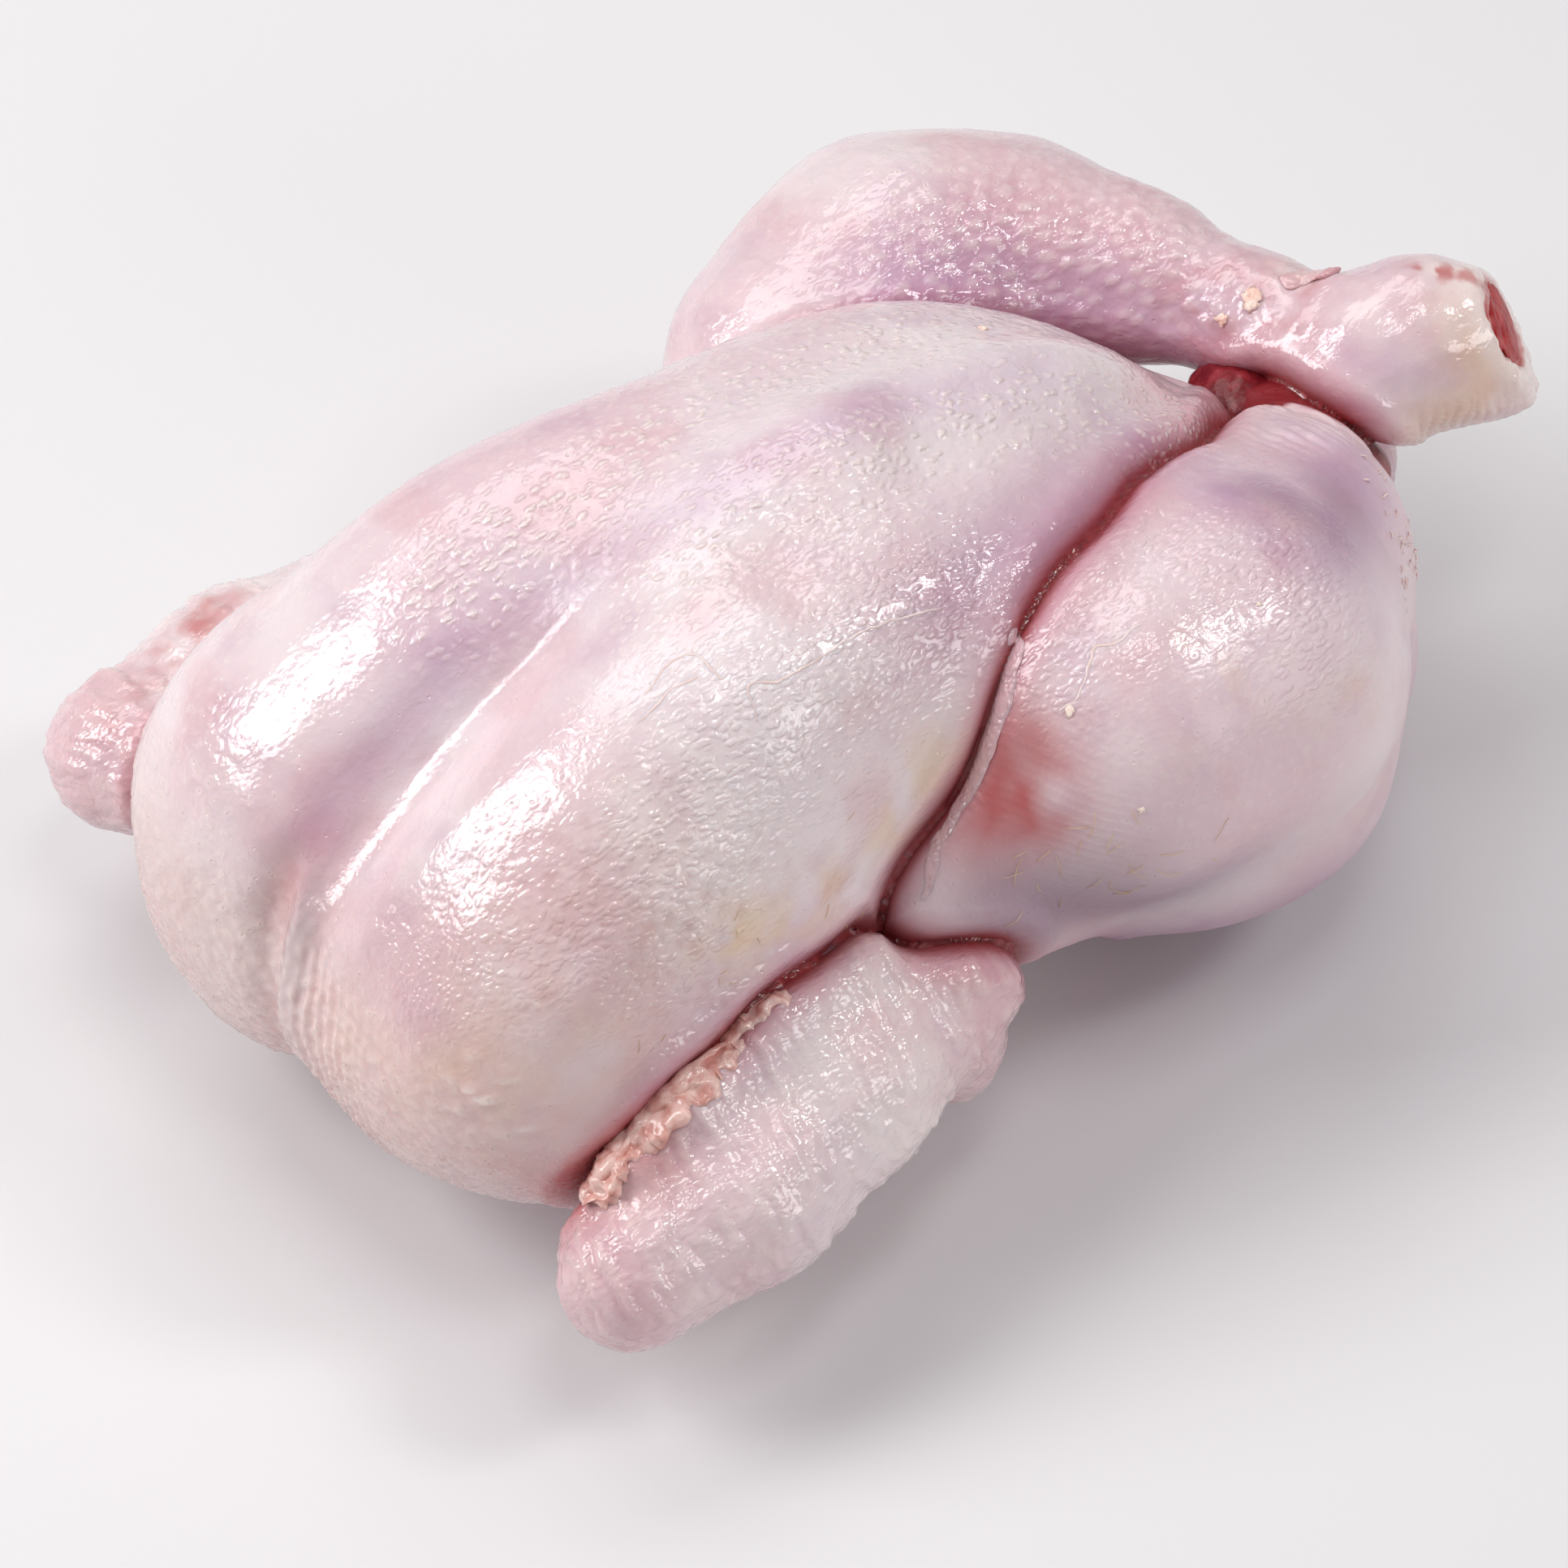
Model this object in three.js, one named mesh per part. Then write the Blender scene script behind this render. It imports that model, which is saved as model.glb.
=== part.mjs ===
// A whole raw chicken, plucked and drawn, lying on its back with its legs crossed over the tail.
//
// Units are millimetres. +X runs from the neck end to the tail, +Y towards the bird's left side
// and +Z up through the breast. The origin is the middle of the flat underside it rests on.
//
// The bird is one piece of meat and skin, so it is one closed mesh. It is described as rounded
// forms, lobes (turned ellipsoids) and limbs (round cones along a path), that swell into each
// other. Each form gives a distance to its surface, the distances are blended, grooves are pressed
// in, the table cuts the underside flat, and a surface net is drawn where the result is zero.
import * as THREE from "three";

const cell = 5.4; // edge of a sampling cell
const skinColour = 0xe0c8ca;

// How wide the fillet is where forms of one region meet, and where a region meets the rest.
const fillets = { trunk: 12, leftLeg: 8, rightLeg: 10, wing: 6, station: 8, join: 7, cutEdge: 3 };

// A form is a lobe, with its middle, radii and turn in degrees about x, y and z, or a limb, with
// stations of x, y, z and radius.
const trunk = [
  { at: [0, 0, 36], radii: [93, 42, 38], turn: [0, 4, 0] }, // ribs and back
  { at: [11, 0, 66], radii: [60, 17, 36], turn: [0, 2, 0] }, // keel
  { at: [63, -1, 56], radii: [27, 14, 13], turn: [0, 21, 0] }, // tip of the breast
  { at: [88, 0, 26], radii: [24, 18, 14], turn: [0, -10, 0] }, // root of the tail
  { at: [106, 0, 30], radii: [14, 10, 8], turn: [0, -20, 0] }, // tail
  { at: [-29, 20, 57], radii: [58, 24, 42], turn: [-8, -12, -8], paired: true }, // breast muscle
  { at: [-43, -23, 49], radii: [42, 22, 40], turn: [-3, 0, 9] }, // right side of the breast
  { at: [-41, 22, 48], radii: [46, 26, 38], turn: [9, -2, 5] }, // left side of the breast
  { at: [-65, -28, 45], radii: [21, 20, 32], turn: [-2, -12, -15] }, // right shoulder
  { at: [-70, 26, 44], radii: [26, 25, 33], turn: [-13, 8, 5] }, // left shoulder
  { at: [-79, 19, 32], radii: [11, 14, 18], turn: [0, 0, 4] }, // neck skin, left
  { at: [-74, -14, 36], radii: [14, 15, 21] }, // neck skin, right
  { at: [28, 14, 55], radii: [53, 26, 38], turn: [-10, 26, -9], paired: true }, // rear of the breast
  { at: [10, 21, 32], radii: [76, 22, 28], turn: [0, 0, 2], paired: true }, // flank
];
const leftLeg = [
  { at: [44, 44, 36], radii: [38, 28, 31], turn: [0, 0, 12] }, // thigh
  { at: [60, 56, 52], radii: [33, 20, 23], turn: [3, -15, -7] }, // calf
  {
    stations: [ // drumstick, from the knee to the hock
      [38, 53, 56, 17], [62, 56, 55, 21], [81, 46, 57, 17],
      [92, 32, 59, 11.5], [101, 12, 60, 8], [107, -4, 60, 10.5],
    ],
  },
  { at: [112, -10, 61], radii: [15, 12, 13], turn: [4, 0, -36] }, // hock joint
  { at: [119, -7, 64], radii: [10, 9, 10], turn: [0, 0, -36] }, // knuckle on top of it
  { at: [125, -14, 60], radii: [12, 8, 12], turn: [2, 0, -36] }, // end of the joint
  { stations: [[110, -11, 56, 5], [126, -18, 57, 5.5]] }, // scaly skin below it
];
const rightLeg = [
  { at: [47, -41, 35], radii: [33, 22, 25], turn: [8, 10, -15] }, // thigh
  { at: [70, -31, 34], radii: [25, 19, 28], turn: [0, 0, -6] }, // back of the thigh
  { stations: [[32, -42, 63, 28], [51, -40, 61, 28], [76, -25, 56, 18], [92, -9, 50, 8.5]] }, // drumstick
  { stations: [[90, -9, 48, 7], [95, -3, 50, 6.5], [98, 2, 50, 5.5]] }, // bare end of the muscle
  { at: [9, -47, 48], radii: [24, 9, 19], turn: [4, 0, -3] }, // skin between knee and flank
  { stations: [[98, -8, 49, 3.5], [102, -13, 46, 2.5]] }, // tendon
];
const leftWing = [
  { stations: [[-76, 64, 31, 11], [-57, 63, 29, 15.5], [-26, 57, 33, 15.5], [4, 58, 27, 13]] }, // forearm
  { at: [-80, 62, 31], radii: [12, 12, 11] }, // wrist
];
const rightWing = [
  { stations: [[-73, -63, 29, 9], [-52, -60, 31, 13.5], [-30, -55, 35, 13.5], [-6, -49, 38, 9]] }, // forearm
  { at: [-71, -61, 27], radii: [11, 9, 12] }, // wrist
  { at: [-9, -53, 30], radii: [8, 10, 16] }, // elbow
  { stations: [[-66, -54, 40, 3], [-55, -51, 44, 4], [-38, -49, 48, 4], [-22, -47, 50, 3]] }, // fat fold
];

// The shank is cut off square here.
const shankCut = { at: [128.6, -16.8, 63], outward: [0.85, -0.42, 0.31] };

// Grooves run along a path, as deep as stated in the middle and fading over the half width.
const grooves = [
  // neck cleft
  { path: [[-93, -4, 30], [-85, 1, 56], [-76, 4, 72], [-62, 2, 88]], halfWidth: 5, depth: 2.5 },
  // over the keel
  { path: [[-62, 2, 88], [-50, 0, 95], [-34, 0, 98], [-12, 0, 101]], halfWidth: 6, depth: 1.5 },
];

// Distance to a lobe, close to true near its surface.
function lobe({ at, radii, turn = [0, 0, 0] }) {
  const angles = turn.map(THREE.MathUtils.degToRad);
  const toLobe = new THREE.Matrix4()
    .makeRotationFromEuler(new THREE.Euler(...angles, "ZYX"))
    .setPosition(...at)
    .invert();
  const unit = new THREE.Vector3(1 / radii[0], 1 / radii[1], 1 / radii[2]);
  const q = new THREE.Vector3();
  return (point) => {
    q.copy(point).applyMatrix4(toLobe).multiply(unit);
    const reach = q.length() + 1e-6;
    const steepness = q.multiply(unit).length() + 1e-9;
    return (reach * (reach - 1)) / steepness;
  };
}

// Distance to round cones along stations of x, y, z and radius.
function limb(stations, soften) {
  const pieces = stations.slice(1).map((end, i) => {
    const start = stations[i];
    const from = new THREE.Vector3(...start);
    const along = new THREE.Vector3(...end).sub(from);
    return { from, along, lengthSq: along.lengthSq(), radius: start[3], growth: end[3] - start[3] };
  });
  const q = new THREE.Vector3();
  return (point) =>
    pieces
      .map(({ from, along, lengthSq, radius, growth }) => {
        q.subVectors(point, from);
        const t = THREE.MathUtils.clamp(q.dot(along) / lengthSq, 0, 1);
        return q.addScaledVector(along, -t).length() - radius - t * growth;
      })
      .reduce((a, b) => swell(a, b, soften));
}

// The smaller of two distances, with a fillet of about the given width where they are alike.
function swell(a, b, width) {
  const h = Math.max(width - Math.abs(a - b), 0) / width;
  return Math.min(a, b) - (h * h * width) / 4;
}

// The distance function of one form. A paired form on the left side has a twin on the right.
function formDistance({ stations, paired, ...shape }) {
  const distance = stations ? limb(stations, fillets.station) : lobe(shape);
  const folded = new THREE.Vector3();
  return paired ? (point) => distance(folded.set(point.x, Math.abs(point.y), point.z)) : distance;
}

const joined = (forms, width) => {
  const distances = forms.map(formDistance);
  return (point) => distances.map((distance) => distance(point)).reduce((a, b) => swell(a, b, width));
};

const cutPlane = new THREE.Plane().setFromNormalAndCoplanarPoint(
  new THREE.Vector3(...shankCut.outward).normalize(),
  new THREE.Vector3(...shankCut.at),
);
const wholeLeftLeg = joined(leftLeg, fillets.leftLeg);
const cutLeftLeg = (point) => -swell(-wholeLeftLeg(point), -cutPlane.distanceToPoint(point), fillets.cutEdge);
const regions = [
  joined(trunk, fillets.trunk),
  cutLeftLeg,
  joined(rightLeg, fillets.rightLeg),
  joined(leftWing, fillets.wing),
  joined(rightWing, fillets.wing),
];
const grooveLines = grooves.map(({ path, halfWidth, depth }) => {
  const line = limb(path.map((point) => [...point, 0]), 1);
  return (point) => depth * Math.exp(-((line(point) / halfWidth) ** 2));
});
const bird = (point) =>
  regions.map((region) => region(point)).reduce((a, b) => swell(a, b, fillets.join)) +
  grooveLines.reduce((sum, groove) => sum + groove(point), 0);

// A closed net of triangles where the field is zero inside the box: one vertex in each cell that
// the surface crosses, moved on to the surface, and two triangles at each crossed cell edge.
function surfaceNet(field, box, size) {
  const counts = box.getSize(new THREE.Vector3()).divideScalar(size).ceil().addScalar(1);
  const [nx, ny, nz] = counts.toArray();
  const index = (i, j, k) => (i * ny + j) * nz + k;
  const corner = new THREE.Vector3();
  const values = new Float64Array(nx * ny * nz);
  for (let i = 0; i < nx; i++)
    for (let j = 0; j < ny; j++)
      for (let k = 0; k < nz; k++)
        values[index(i, j, k)] = field(corner.set(i, j, k).multiplyScalar(size).add(box.min));
  closeSlits(values, [ny * nz, nz, 1]);

  const positions = [];
  const vertexOf = new Map();
  const steps = [[1, 0, 0], [0, 1, 0], [0, 0, 1]];
  const corners = [0, 1].flatMap((a) => [0, 1].flatMap((b) => [0, 1].map((c) => [a, b, c])));
  for (let i = 0; i < nx - 1; i++)
    for (let j = 0; j < ny - 1; j++)
      for (let k = 0; k < nz - 1; k++) {
        const crossings = [];
        for (const [a, b, c] of corners)
          for (const [dx, dy, dz] of steps) {
            if (a + dx > 1 || b + dy > 1 || c + dz > 1) continue;
            const start = values[index(i + a, j + b, k + c)];
            const end = values[index(i + a + dx, j + b + dy, k + c + dz)];
            if (start < 0 === end < 0) continue;
            const t = start / (start - end);
            crossings.push([i + a + dx * t, j + b + dy * t, k + c + dz * t]);
          }
        if (!crossings.length) continue;
        const middle = new THREE.Vector3();
        for (const point of crossings) middle.add(new THREE.Vector3(...point));
        middle.multiplyScalar(size / crossings.length).add(box.min);
        vertexOf.set(index(i, j, k), positions.length / 3);
        positions.push(...settle(field, middle, size).toArray());
      }

  const triangles = [];
  const quad = (a, b, c, d, flip) => {
    const [p, q, r, s] = [a, b, c, d].map((key) => vertexOf.get(key));
    triangles.push(...(flip ? [p, r, q, p, s, r] : [p, q, r, p, r, s]));
  };
  for (let i = 1; i < nx - 1; i++)
    for (let j = 1; j < ny - 1; j++)
      for (let k = 1; k < nz - 1; k++) {
        const inside = values[index(i, j, k)] < 0;
        if (inside !== values[index(i + 1, j, k)] < 0)
          quad(index(i, j - 1, k - 1), index(i, j, k - 1), index(i, j, k), index(i, j - 1, k), !inside);
        if (inside !== values[index(i, j + 1, k)] < 0)
          quad(index(i - 1, j, k - 1), index(i - 1, j, k), index(i, j, k), index(i, j, k - 1), !inside);
        if (inside !== values[index(i, j, k + 1)] < 0)
          quad(index(i - 1, j - 1, k), index(i, j - 1, k), index(i, j, k), index(i - 1, j, k), !inside);
      }
  return { positions, triangles };
}

// In a narrow slit the corners round a cell's side may lie inside and outside by turns, and two
// sheets of skin would share an edge. The outer corner nearest to the surface is taken in there.
function closeSlits(values, strides) {
  const justInside = -1e-3;
  for (let changed = true; changed; ) {
    changed = false;
    for (const [a, b] of [[0, 1], [1, 2], [0, 2]])
      for (let first = 0; first + strides[a] + strides[b] < values.length; first++) {
        const ring = [0, strides[a], strides[a] + strides[b], strides[b]].map((step) => first + step);
        const inside = ring.map((corner) => values[corner] < 0);
        if (inside[0] !== inside[2] || inside[1] !== inside[3] || inside[0] === inside[1]) continue;
        const outer = ring.filter((corner, side) => !inside[side]);
        values[values[outer[0]] < values[outer[1]] ? outer[0] : outer[1]] = justInside;
        changed = true;
      }
  }
}

// Moves a point down the field's slope until it lies on the surface, at most a third of a cell
// away. The slope is taken over a fair stretch, so that a crease doesn't throw the point aside.
function settle(field, point, size) {
  const probe = size / 8;
  const home = point.clone();
  const slope = new THREE.Vector3();
  const shifted = new THREE.Vector3();
  for (let pass = 0; pass < 4; pass++) {
    for (const axis of ["x", "y", "z"]) {
      shifted.copy(point)[axis] += probe;
      const ahead = field(shifted);
      shifted[axis] -= 2 * probe;
      slope[axis] = (ahead - field(shifted)) / (2 * probe);
    }
    point.addScaledVector(slope, -field(point) / Math.max(slope.lengthSq(), 0.3));
  }
  return point.sub(home).clampLength(0, size / 3).add(home);
}

// The net's layers are set half a cell off the table, so that the underside comes out flat.
const reach = new THREE.Box3(
  new THREE.Vector3(-110, -92, -2.5 * cell),
  new THREE.Vector3(144, 96, 116),
);
const onTable = (point) => Math.max(bird(point), -point.z);
const { positions, triangles } = surfaceNet(onTable, reach, cell);
const skin = new THREE.BufferGeometry()
  .setAttribute("position", new THREE.Float32BufferAttribute(positions, 3))
  .setIndex(triangles);
skin.computeVertexNormals();

const chicken = new THREE.Mesh(
  skin,
  new THREE.MeshStandardMaterial({ color: skinColour, roughness: 0.35, metalness: 0 }),
);
chicken.name = "chicken";

const part = new THREE.Group();
part.add(chicken);
export default part;
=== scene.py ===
import bpy
import numpy as np
from mathutils import Matrix


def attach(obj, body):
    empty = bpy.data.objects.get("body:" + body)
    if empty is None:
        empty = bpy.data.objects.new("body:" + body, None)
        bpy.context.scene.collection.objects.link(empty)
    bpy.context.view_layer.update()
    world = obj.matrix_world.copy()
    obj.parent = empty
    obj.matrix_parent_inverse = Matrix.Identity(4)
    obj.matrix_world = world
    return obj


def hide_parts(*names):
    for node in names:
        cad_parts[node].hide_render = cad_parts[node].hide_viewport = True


# A whole raw chicken on its back. All forms are in millimetres in the frame's axes: x runs to the
# tail, y to the bird's left side, z up through the breast. mm turns them into metres at the end.

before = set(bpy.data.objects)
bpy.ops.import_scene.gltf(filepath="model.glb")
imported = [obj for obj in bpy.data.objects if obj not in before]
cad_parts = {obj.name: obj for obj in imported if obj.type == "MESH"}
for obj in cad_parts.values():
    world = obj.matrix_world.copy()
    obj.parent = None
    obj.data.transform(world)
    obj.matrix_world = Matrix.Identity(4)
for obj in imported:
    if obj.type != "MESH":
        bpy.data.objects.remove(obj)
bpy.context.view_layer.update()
mm = 0.001


# Forms: distances to lobes and limbs, and how they melt together.

def swell(a, b, width):
    # the smaller of two distances, less a fillet where they are alike
    h = np.clip(width - np.abs(a - b), 0, None) / width
    return np.minimum(a, b) - h * h * width / 4


def press(a, b, width):
    # the larger of two distances, with the same fillet
    return -swell(-a, -b, width)


def turned(degrees):
    # turn about x, then y, then z
    (cx, cy, cz), (sx, sy, sz) = np.cos(np.radians(degrees)), np.sin(np.radians(degrees))
    aboutX = np.array([[1, 0, 0], [0, cx, -sx], [0, sx, cx]])
    aboutY = np.array([[cy, 0, sy], [0, 1, 0], [-sy, 0, cy]])
    aboutZ = np.array([[cz, -sz, 0], [sz, cz, 0], [0, 0, 1]])
    return aboutZ @ aboutY @ aboutX


def lobeDistance(p, at, radii, turn=(0, 0, 0)):
    # k0 (k0 - 1) / k1, k0 the length of the point over the radii, k1 of it over their squares
    q = (p - np.array(at, np.float32)) @ turned(turn).astype(np.float32) / np.array(radii, np.float32)
    k0 = np.sqrt((q * q).sum(-1)) + 1e-6
    k1 = np.sqrt(((q / np.array(radii, np.float32)) ** 2).sum(-1)) + 1e-9
    return k0 * (k0 - 1) / k1


def limbDistance(p, stations, soften=8):
    # least distance to round cones from station to station (x, y, z, radius), softened between them
    distance = None
    for start, end in zip(stations[:-1], stations[1:]):
        foot = np.array(start[:3], np.float32)
        along = np.array(end[:3], np.float32) - foot
        t = np.clip((p - foot) @ along / (along @ along), 0, 1)
        off = p - foot - t[..., None] * along
        cone = np.sqrt((off * off).sum(-1)) - start[3] - t * (end[3] - start[3])
        distance = cone if distance is None else swell(distance, cone, soften)
    return distance


def distanceTo(p, path):
    # least distance to a line through the points of a path, or to its one point
    if len(path) == 1:
        return np.linalg.norm(p - np.array(path[0], np.float32), axis=-1)
    return limbDistance(p, [(*point, 0) for point in path], 0.5)


def near(p, path, width):
    # 1 on the path, fading as exp(-(distance / width)^2)
    return np.exp(-(distanceTo(p, path) / width) ** 2)


def smooth(low, high, x):
    # 0 below low, 1 above high, 3t^2 - 2t^3 between
    t = np.clip((x - low) / (high - low), 0, 1)
    return t * t * (3 - 2 * t)


# In each region dense is (degrees from the top, share): where columns stand closer, and how much.
trunk = dict(
    fillet=12,
    forms=[
        dict(at=(0, 0, 36), radii=(93, 42, 38), turn=(0, 4, 0)),  # ribs and back
        dict(at=(11, 0, 66), radii=(60, 17, 36), turn=(0, 2, 0)),  # keel
        dict(at=(63, -1, 56), radii=(27, 14, 13), turn=(0, 21, 0)),  # tip of the breast
        dict(at=(88, 0, 26), radii=(24, 18, 14), turn=(0, -10, 0)),  # root of the tail
        dict(at=(106, 0, 30), radii=(14, 10, 8), turn=(0, -20, 0)),  # tail
        dict(at=(-29, 20, 57), radii=(58, 24, 42), turn=(-8, -12, -8), paired=True),  # breast muscle
        dict(at=(-43, -23, 49), radii=(42, 22, 37), turn=(-3, 0, 9)),  # right side of the breast
        dict(at=(-41, 22, 48), radii=(46, 26, 38), turn=(9, -2, 5)),  # left side of the breast
        dict(at=(-65, -28, 45), radii=(21, 20, 29), turn=(-2, -12, -15)),  # right shoulder
        dict(at=(-70, 26, 44), radii=(26, 25, 33), turn=(-13, 8, 5)),  # left shoulder
        dict(at=(-79, 19, 32), radii=(11, 14, 18), turn=(0, 0, 4)),  # neck skin, left
        dict(at=(-74, -14, 36), radii=(14, 15, 21)),  # neck skin, right
        dict(at=(28, 14, 55), radii=(53, 26, 38), turn=(-10, 26, -9), paired=True),  # rear of the breast
        dict(at=(10, 21, 32), radii=(76, 22, 28), turn=(0, 0, 2), paired=True),  # flank
    ],
    path=[(-52, 0, 42), (-20, 0, 46), (30, 0, 46), (66, 0, 40), (84, 0, 32)],
    grid=(400, 236),
    dense=(-40, 1.1),
)
leftLeg = dict(
    fillet=8,
    forms=[
        dict(at=(44, 44, 36), radii=(38, 28, 31), turn=(0, 0, 12)),  # thigh
        dict(at=(60, 56, 52), radii=(33, 20, 23), turn=(3, -15, -7)),  # calf
        dict(stations=[(38, 53, 56, 17), (62, 56, 55, 21), (81, 46, 57, 17),
                       (92, 32, 59, 11.5), (101, 12, 60, 8), (107, -4, 60, 10.5)]),  # drumstick
        dict(at=(112, -9, 62), radii=(14.5, 11.5, 12), turn=(4, 0, -36)),  # hock joint
        dict(at=(119, -7, 64), radii=(10, 9, 10), turn=(0, 0, -36)),  # knuckle on top of it
        dict(at=(125, -14, 60), radii=(12, 8, 12), turn=(2, 0, -36)),  # end of the joint
        dict(stations=[(110, -11, 58, 4), (126, -18, 57, 5)]),  # scaly skin below it
    ],
    cut=dict(at=(128.2, -17.6, 63), outward=(0.75, -0.5, 0.43), fillet=1.2),
    path=[(32, 50, 44), (58, 53, 50), (80, 45, 55), (92, 30, 59), (100, 13, 60), (106, 1, 60),
          (112, -7, 61), (118, -13, 62)],
    grid=(430, 190),
    dense=(-20, 1.0),
)
rightLeg = dict(
    fillet=10,
    forms=[
        dict(at=(47, -41, 35), radii=(33, 22, 25), turn=(8, 10, -15)),  # thigh
        dict(at=(70, -31, 34), radii=(25, 19, 28), turn=(0, 0, -6)),  # back of the thigh
        dict(stations=[(32, -42, 63, 28), (51, -40, 61, 28),
                       (76, -25, 56, 18), (92, -9, 50, 8.5)]),  # drumstick
        dict(stations=[(90, -9, 48, 7), (95, -3, 50, 6.5), (98, 2, 50, 5.5)]),  # bare end of the muscle
        dict(at=(9, -47, 48), radii=(24, 9, 19), turn=(4, 0, -3)),  # skin between knee and flank
        dict(stations=[(98, -8, 49, 3.5), (102, -13, 46, 2.5)]),  # tendon
    ],
    path=[(14, -44, 52), (40, -41, 50), (66, -32, 50), (82, -18, 50), (91, -8, 49)],
    grid=(360, 250),
    dense=(-40, 1.0),
)
leftWing = dict(
    fillet=6,
    forms=[
        dict(stations=[(-76, 64, 31, 11), (-57, 63, 29, 15.5), (-26, 57, 33, 15.5), (4, 58, 27, 13)]),
        dict(at=(-80, 62, 31), radii=(12, 12, 11)),  # wrist
    ],
    path=[(-78, 63, 31), (-57, 63, 30), (-26, 58, 32), (2, 58, 28)],
    grid=(300, 160),
    dense=(0, 0.6),
)
rightWing = dict(
    fillet=8,
    forms=[
        dict(stations=[(-73, -63, 29, 9), (-52, -60, 31, 13.5), (-30, -55, 35, 13.5), (-6, -49, 38, 9)]),
        dict(at=(-71, -61, 27), radii=(11, 9, 12)),  # wrist
        dict(at=(-9, -53, 30), radii=(8, 10, 16)),  # elbow
        dict(stations=[(-66, -54, 40, 3), (-55, -51, 44, 4), (-38, -49, 48, 4), (-22, -47, 50, 3)]),
    ],
    path=[(-72, -62, 29), (-52, -59, 31), (-30, -55, 34), (-9, -51, 36)],
    grid=(330, 170),
    dense=(-30, 1.0),
)
regions = [trunk, leftLeg, rightLeg, leftWing, rightWing]

# How regions meet: a fillet, a crease with lips beside it, a slow dive under the neighbours, and
# rounding where the bird rests.
join = dict(fillet=2, creaseDepth=0.9, creaseWidth=1.0, lip=1.5, lipAt=4, lipWidth=3.4,
            sinkSlope=0.4, sinkDepth=3, sinkFillet=2, restFillet=2, edgeFillet=1)

lines = dict(
    cleft=[(-94, -1, 28), (-92, 1, 38), (-90, 3, 48), (-88, 5, 57), (-86, 5, 65)],
    keel=[(-80, 8, 67), (-70, 9, 75), (-60, 7, 81), (-49, 5, 85), (-37, 5, 90), (-24, 3, 95),
          (-12, 3, 99), (2, -1, 102)],
    valley=[(-86, 4, 66), (-82, 4, 70), (-76, 5, 76), (-64, 5, 83), (-56, 5, 87), (-48, 4, 91),
            (-36, 3, 96), (-26, 2, 100), (-16, 0, 103), (-2, -1, 105), (14, 0, 103), (30, -2, 99),
            (46, -2, 94)],
    neckFlap=[(-86, 0, 66), (-88, -1, 58), (-90, -2, 48), (-92, -3, 38)],
    rightLobe=[(-82, -9, 66), (-72, -10, 77), (-62, -10, 85), (-49, -9, 91), (-36, -10, 95), (-24, -11, 98)],
    rightSlope=[(-80, -30, 70), (-70, -32, 81), (-58, -33, 87), (-44, -34, 91)],
    flankFold=[(15, -37, 88), (10, -41, 81), (6, -43, 76), (1, -44, 69), (-5, -45, 62), (-12, -46, 55)],
    wingSlit=[(-66, -54, 39), (-55, -51, 43), (-38, -49, 47), (-22, -47, 50)],
    hockSeam=[(108, 3, 71), (103, 2, 70), (99, 0, 69), (96, 1, 65), (94, -1, 61), (95, -8, 61),
              (98, -15, 60)],
    leftBand=[(-50, 14, 92), (-38, 15, 97), (-24, 14, 100), (-10, 15, 101), (3, 18, 99), (18, 17, 98),
              (35, 16, 94), (48, 14, 89), (60, 12, 84)],
    rightBand=[(-26, -8, 99), (-14, -7, 103), (-3, -8, 104), (8, -9, 103), (19, -8, 101), (29, -7, 99),
               (38, -7, 96), (52, -10, 89), (63, -10, 80)],
    sheen=[(-50, -44, 80), (-36, -40, 88), (-20, -36, 92), (-7, -32, 94), (3, -28, 96)],
    dimples=[(-71, -36, 80), (-62, -35, 86), (-52, -37, 90), (-50, -44, 76), (-44, -47, 70)],
    fat=[(-44, -47, 69), (-35, -47, 66), (-20, -44, 65), (-10, -42, 69), (-3, -41, 76)],
)
grooves = [  # pressed in where depth is positive, raised where it is negative
    dict(path=lines["cleft"], halfWidth=3.6, depth=2.6),
    dict(path=lines["keel"], halfWidth=13, depth=-5),
    dict(path=lines["valley"][:8], halfWidth=3.6, depth=0.6),
    dict(path=lines["valley"], halfWidth=2.8, depth=0.8),
    dict(path=lines["neckFlap"], halfWidth=3, depth=-1),
    dict(path=lines["rightLobe"], halfWidth=9.5, depth=-3.2),
    dict(path=lines["rightSlope"], halfWidth=14, depth=3.4),
    dict(path=lines["flankFold"], halfWidth=2.2, depth=-1.5),
    dict(path=lines["wingSlit"], halfWidth=3, depth=2.2),
    dict(path=lines["hockSeam"], halfWidth=1.6, depth=-0.9),
]


def regionDistance(p, region):
    # least distance to the region's forms, with fillets; the shank's end is cut off by a plane
    distance = None
    for form in region["forms"]:
        shape = {key: value for key, value in form.items() if key != "paired"}
        q = np.stack([p[..., 0], np.abs(p[..., 1]), p[..., 2]], -1) if form.get("paired") else p
        own = limbDistance(q, **shape) if "stations" in form else lobeDistance(q, **shape)
        distance = own if distance is None else swell(distance, own, region["fillet"])
    if "cut" in region:
        cut = region["cut"]
        outward = np.array(cut["outward"], np.float32)
        beyond = (p - np.array(cut["at"], np.float32)) @ outward / np.linalg.norm(outward)
        distance = press(distance, beyond, cut["fillet"])
    return distance


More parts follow.
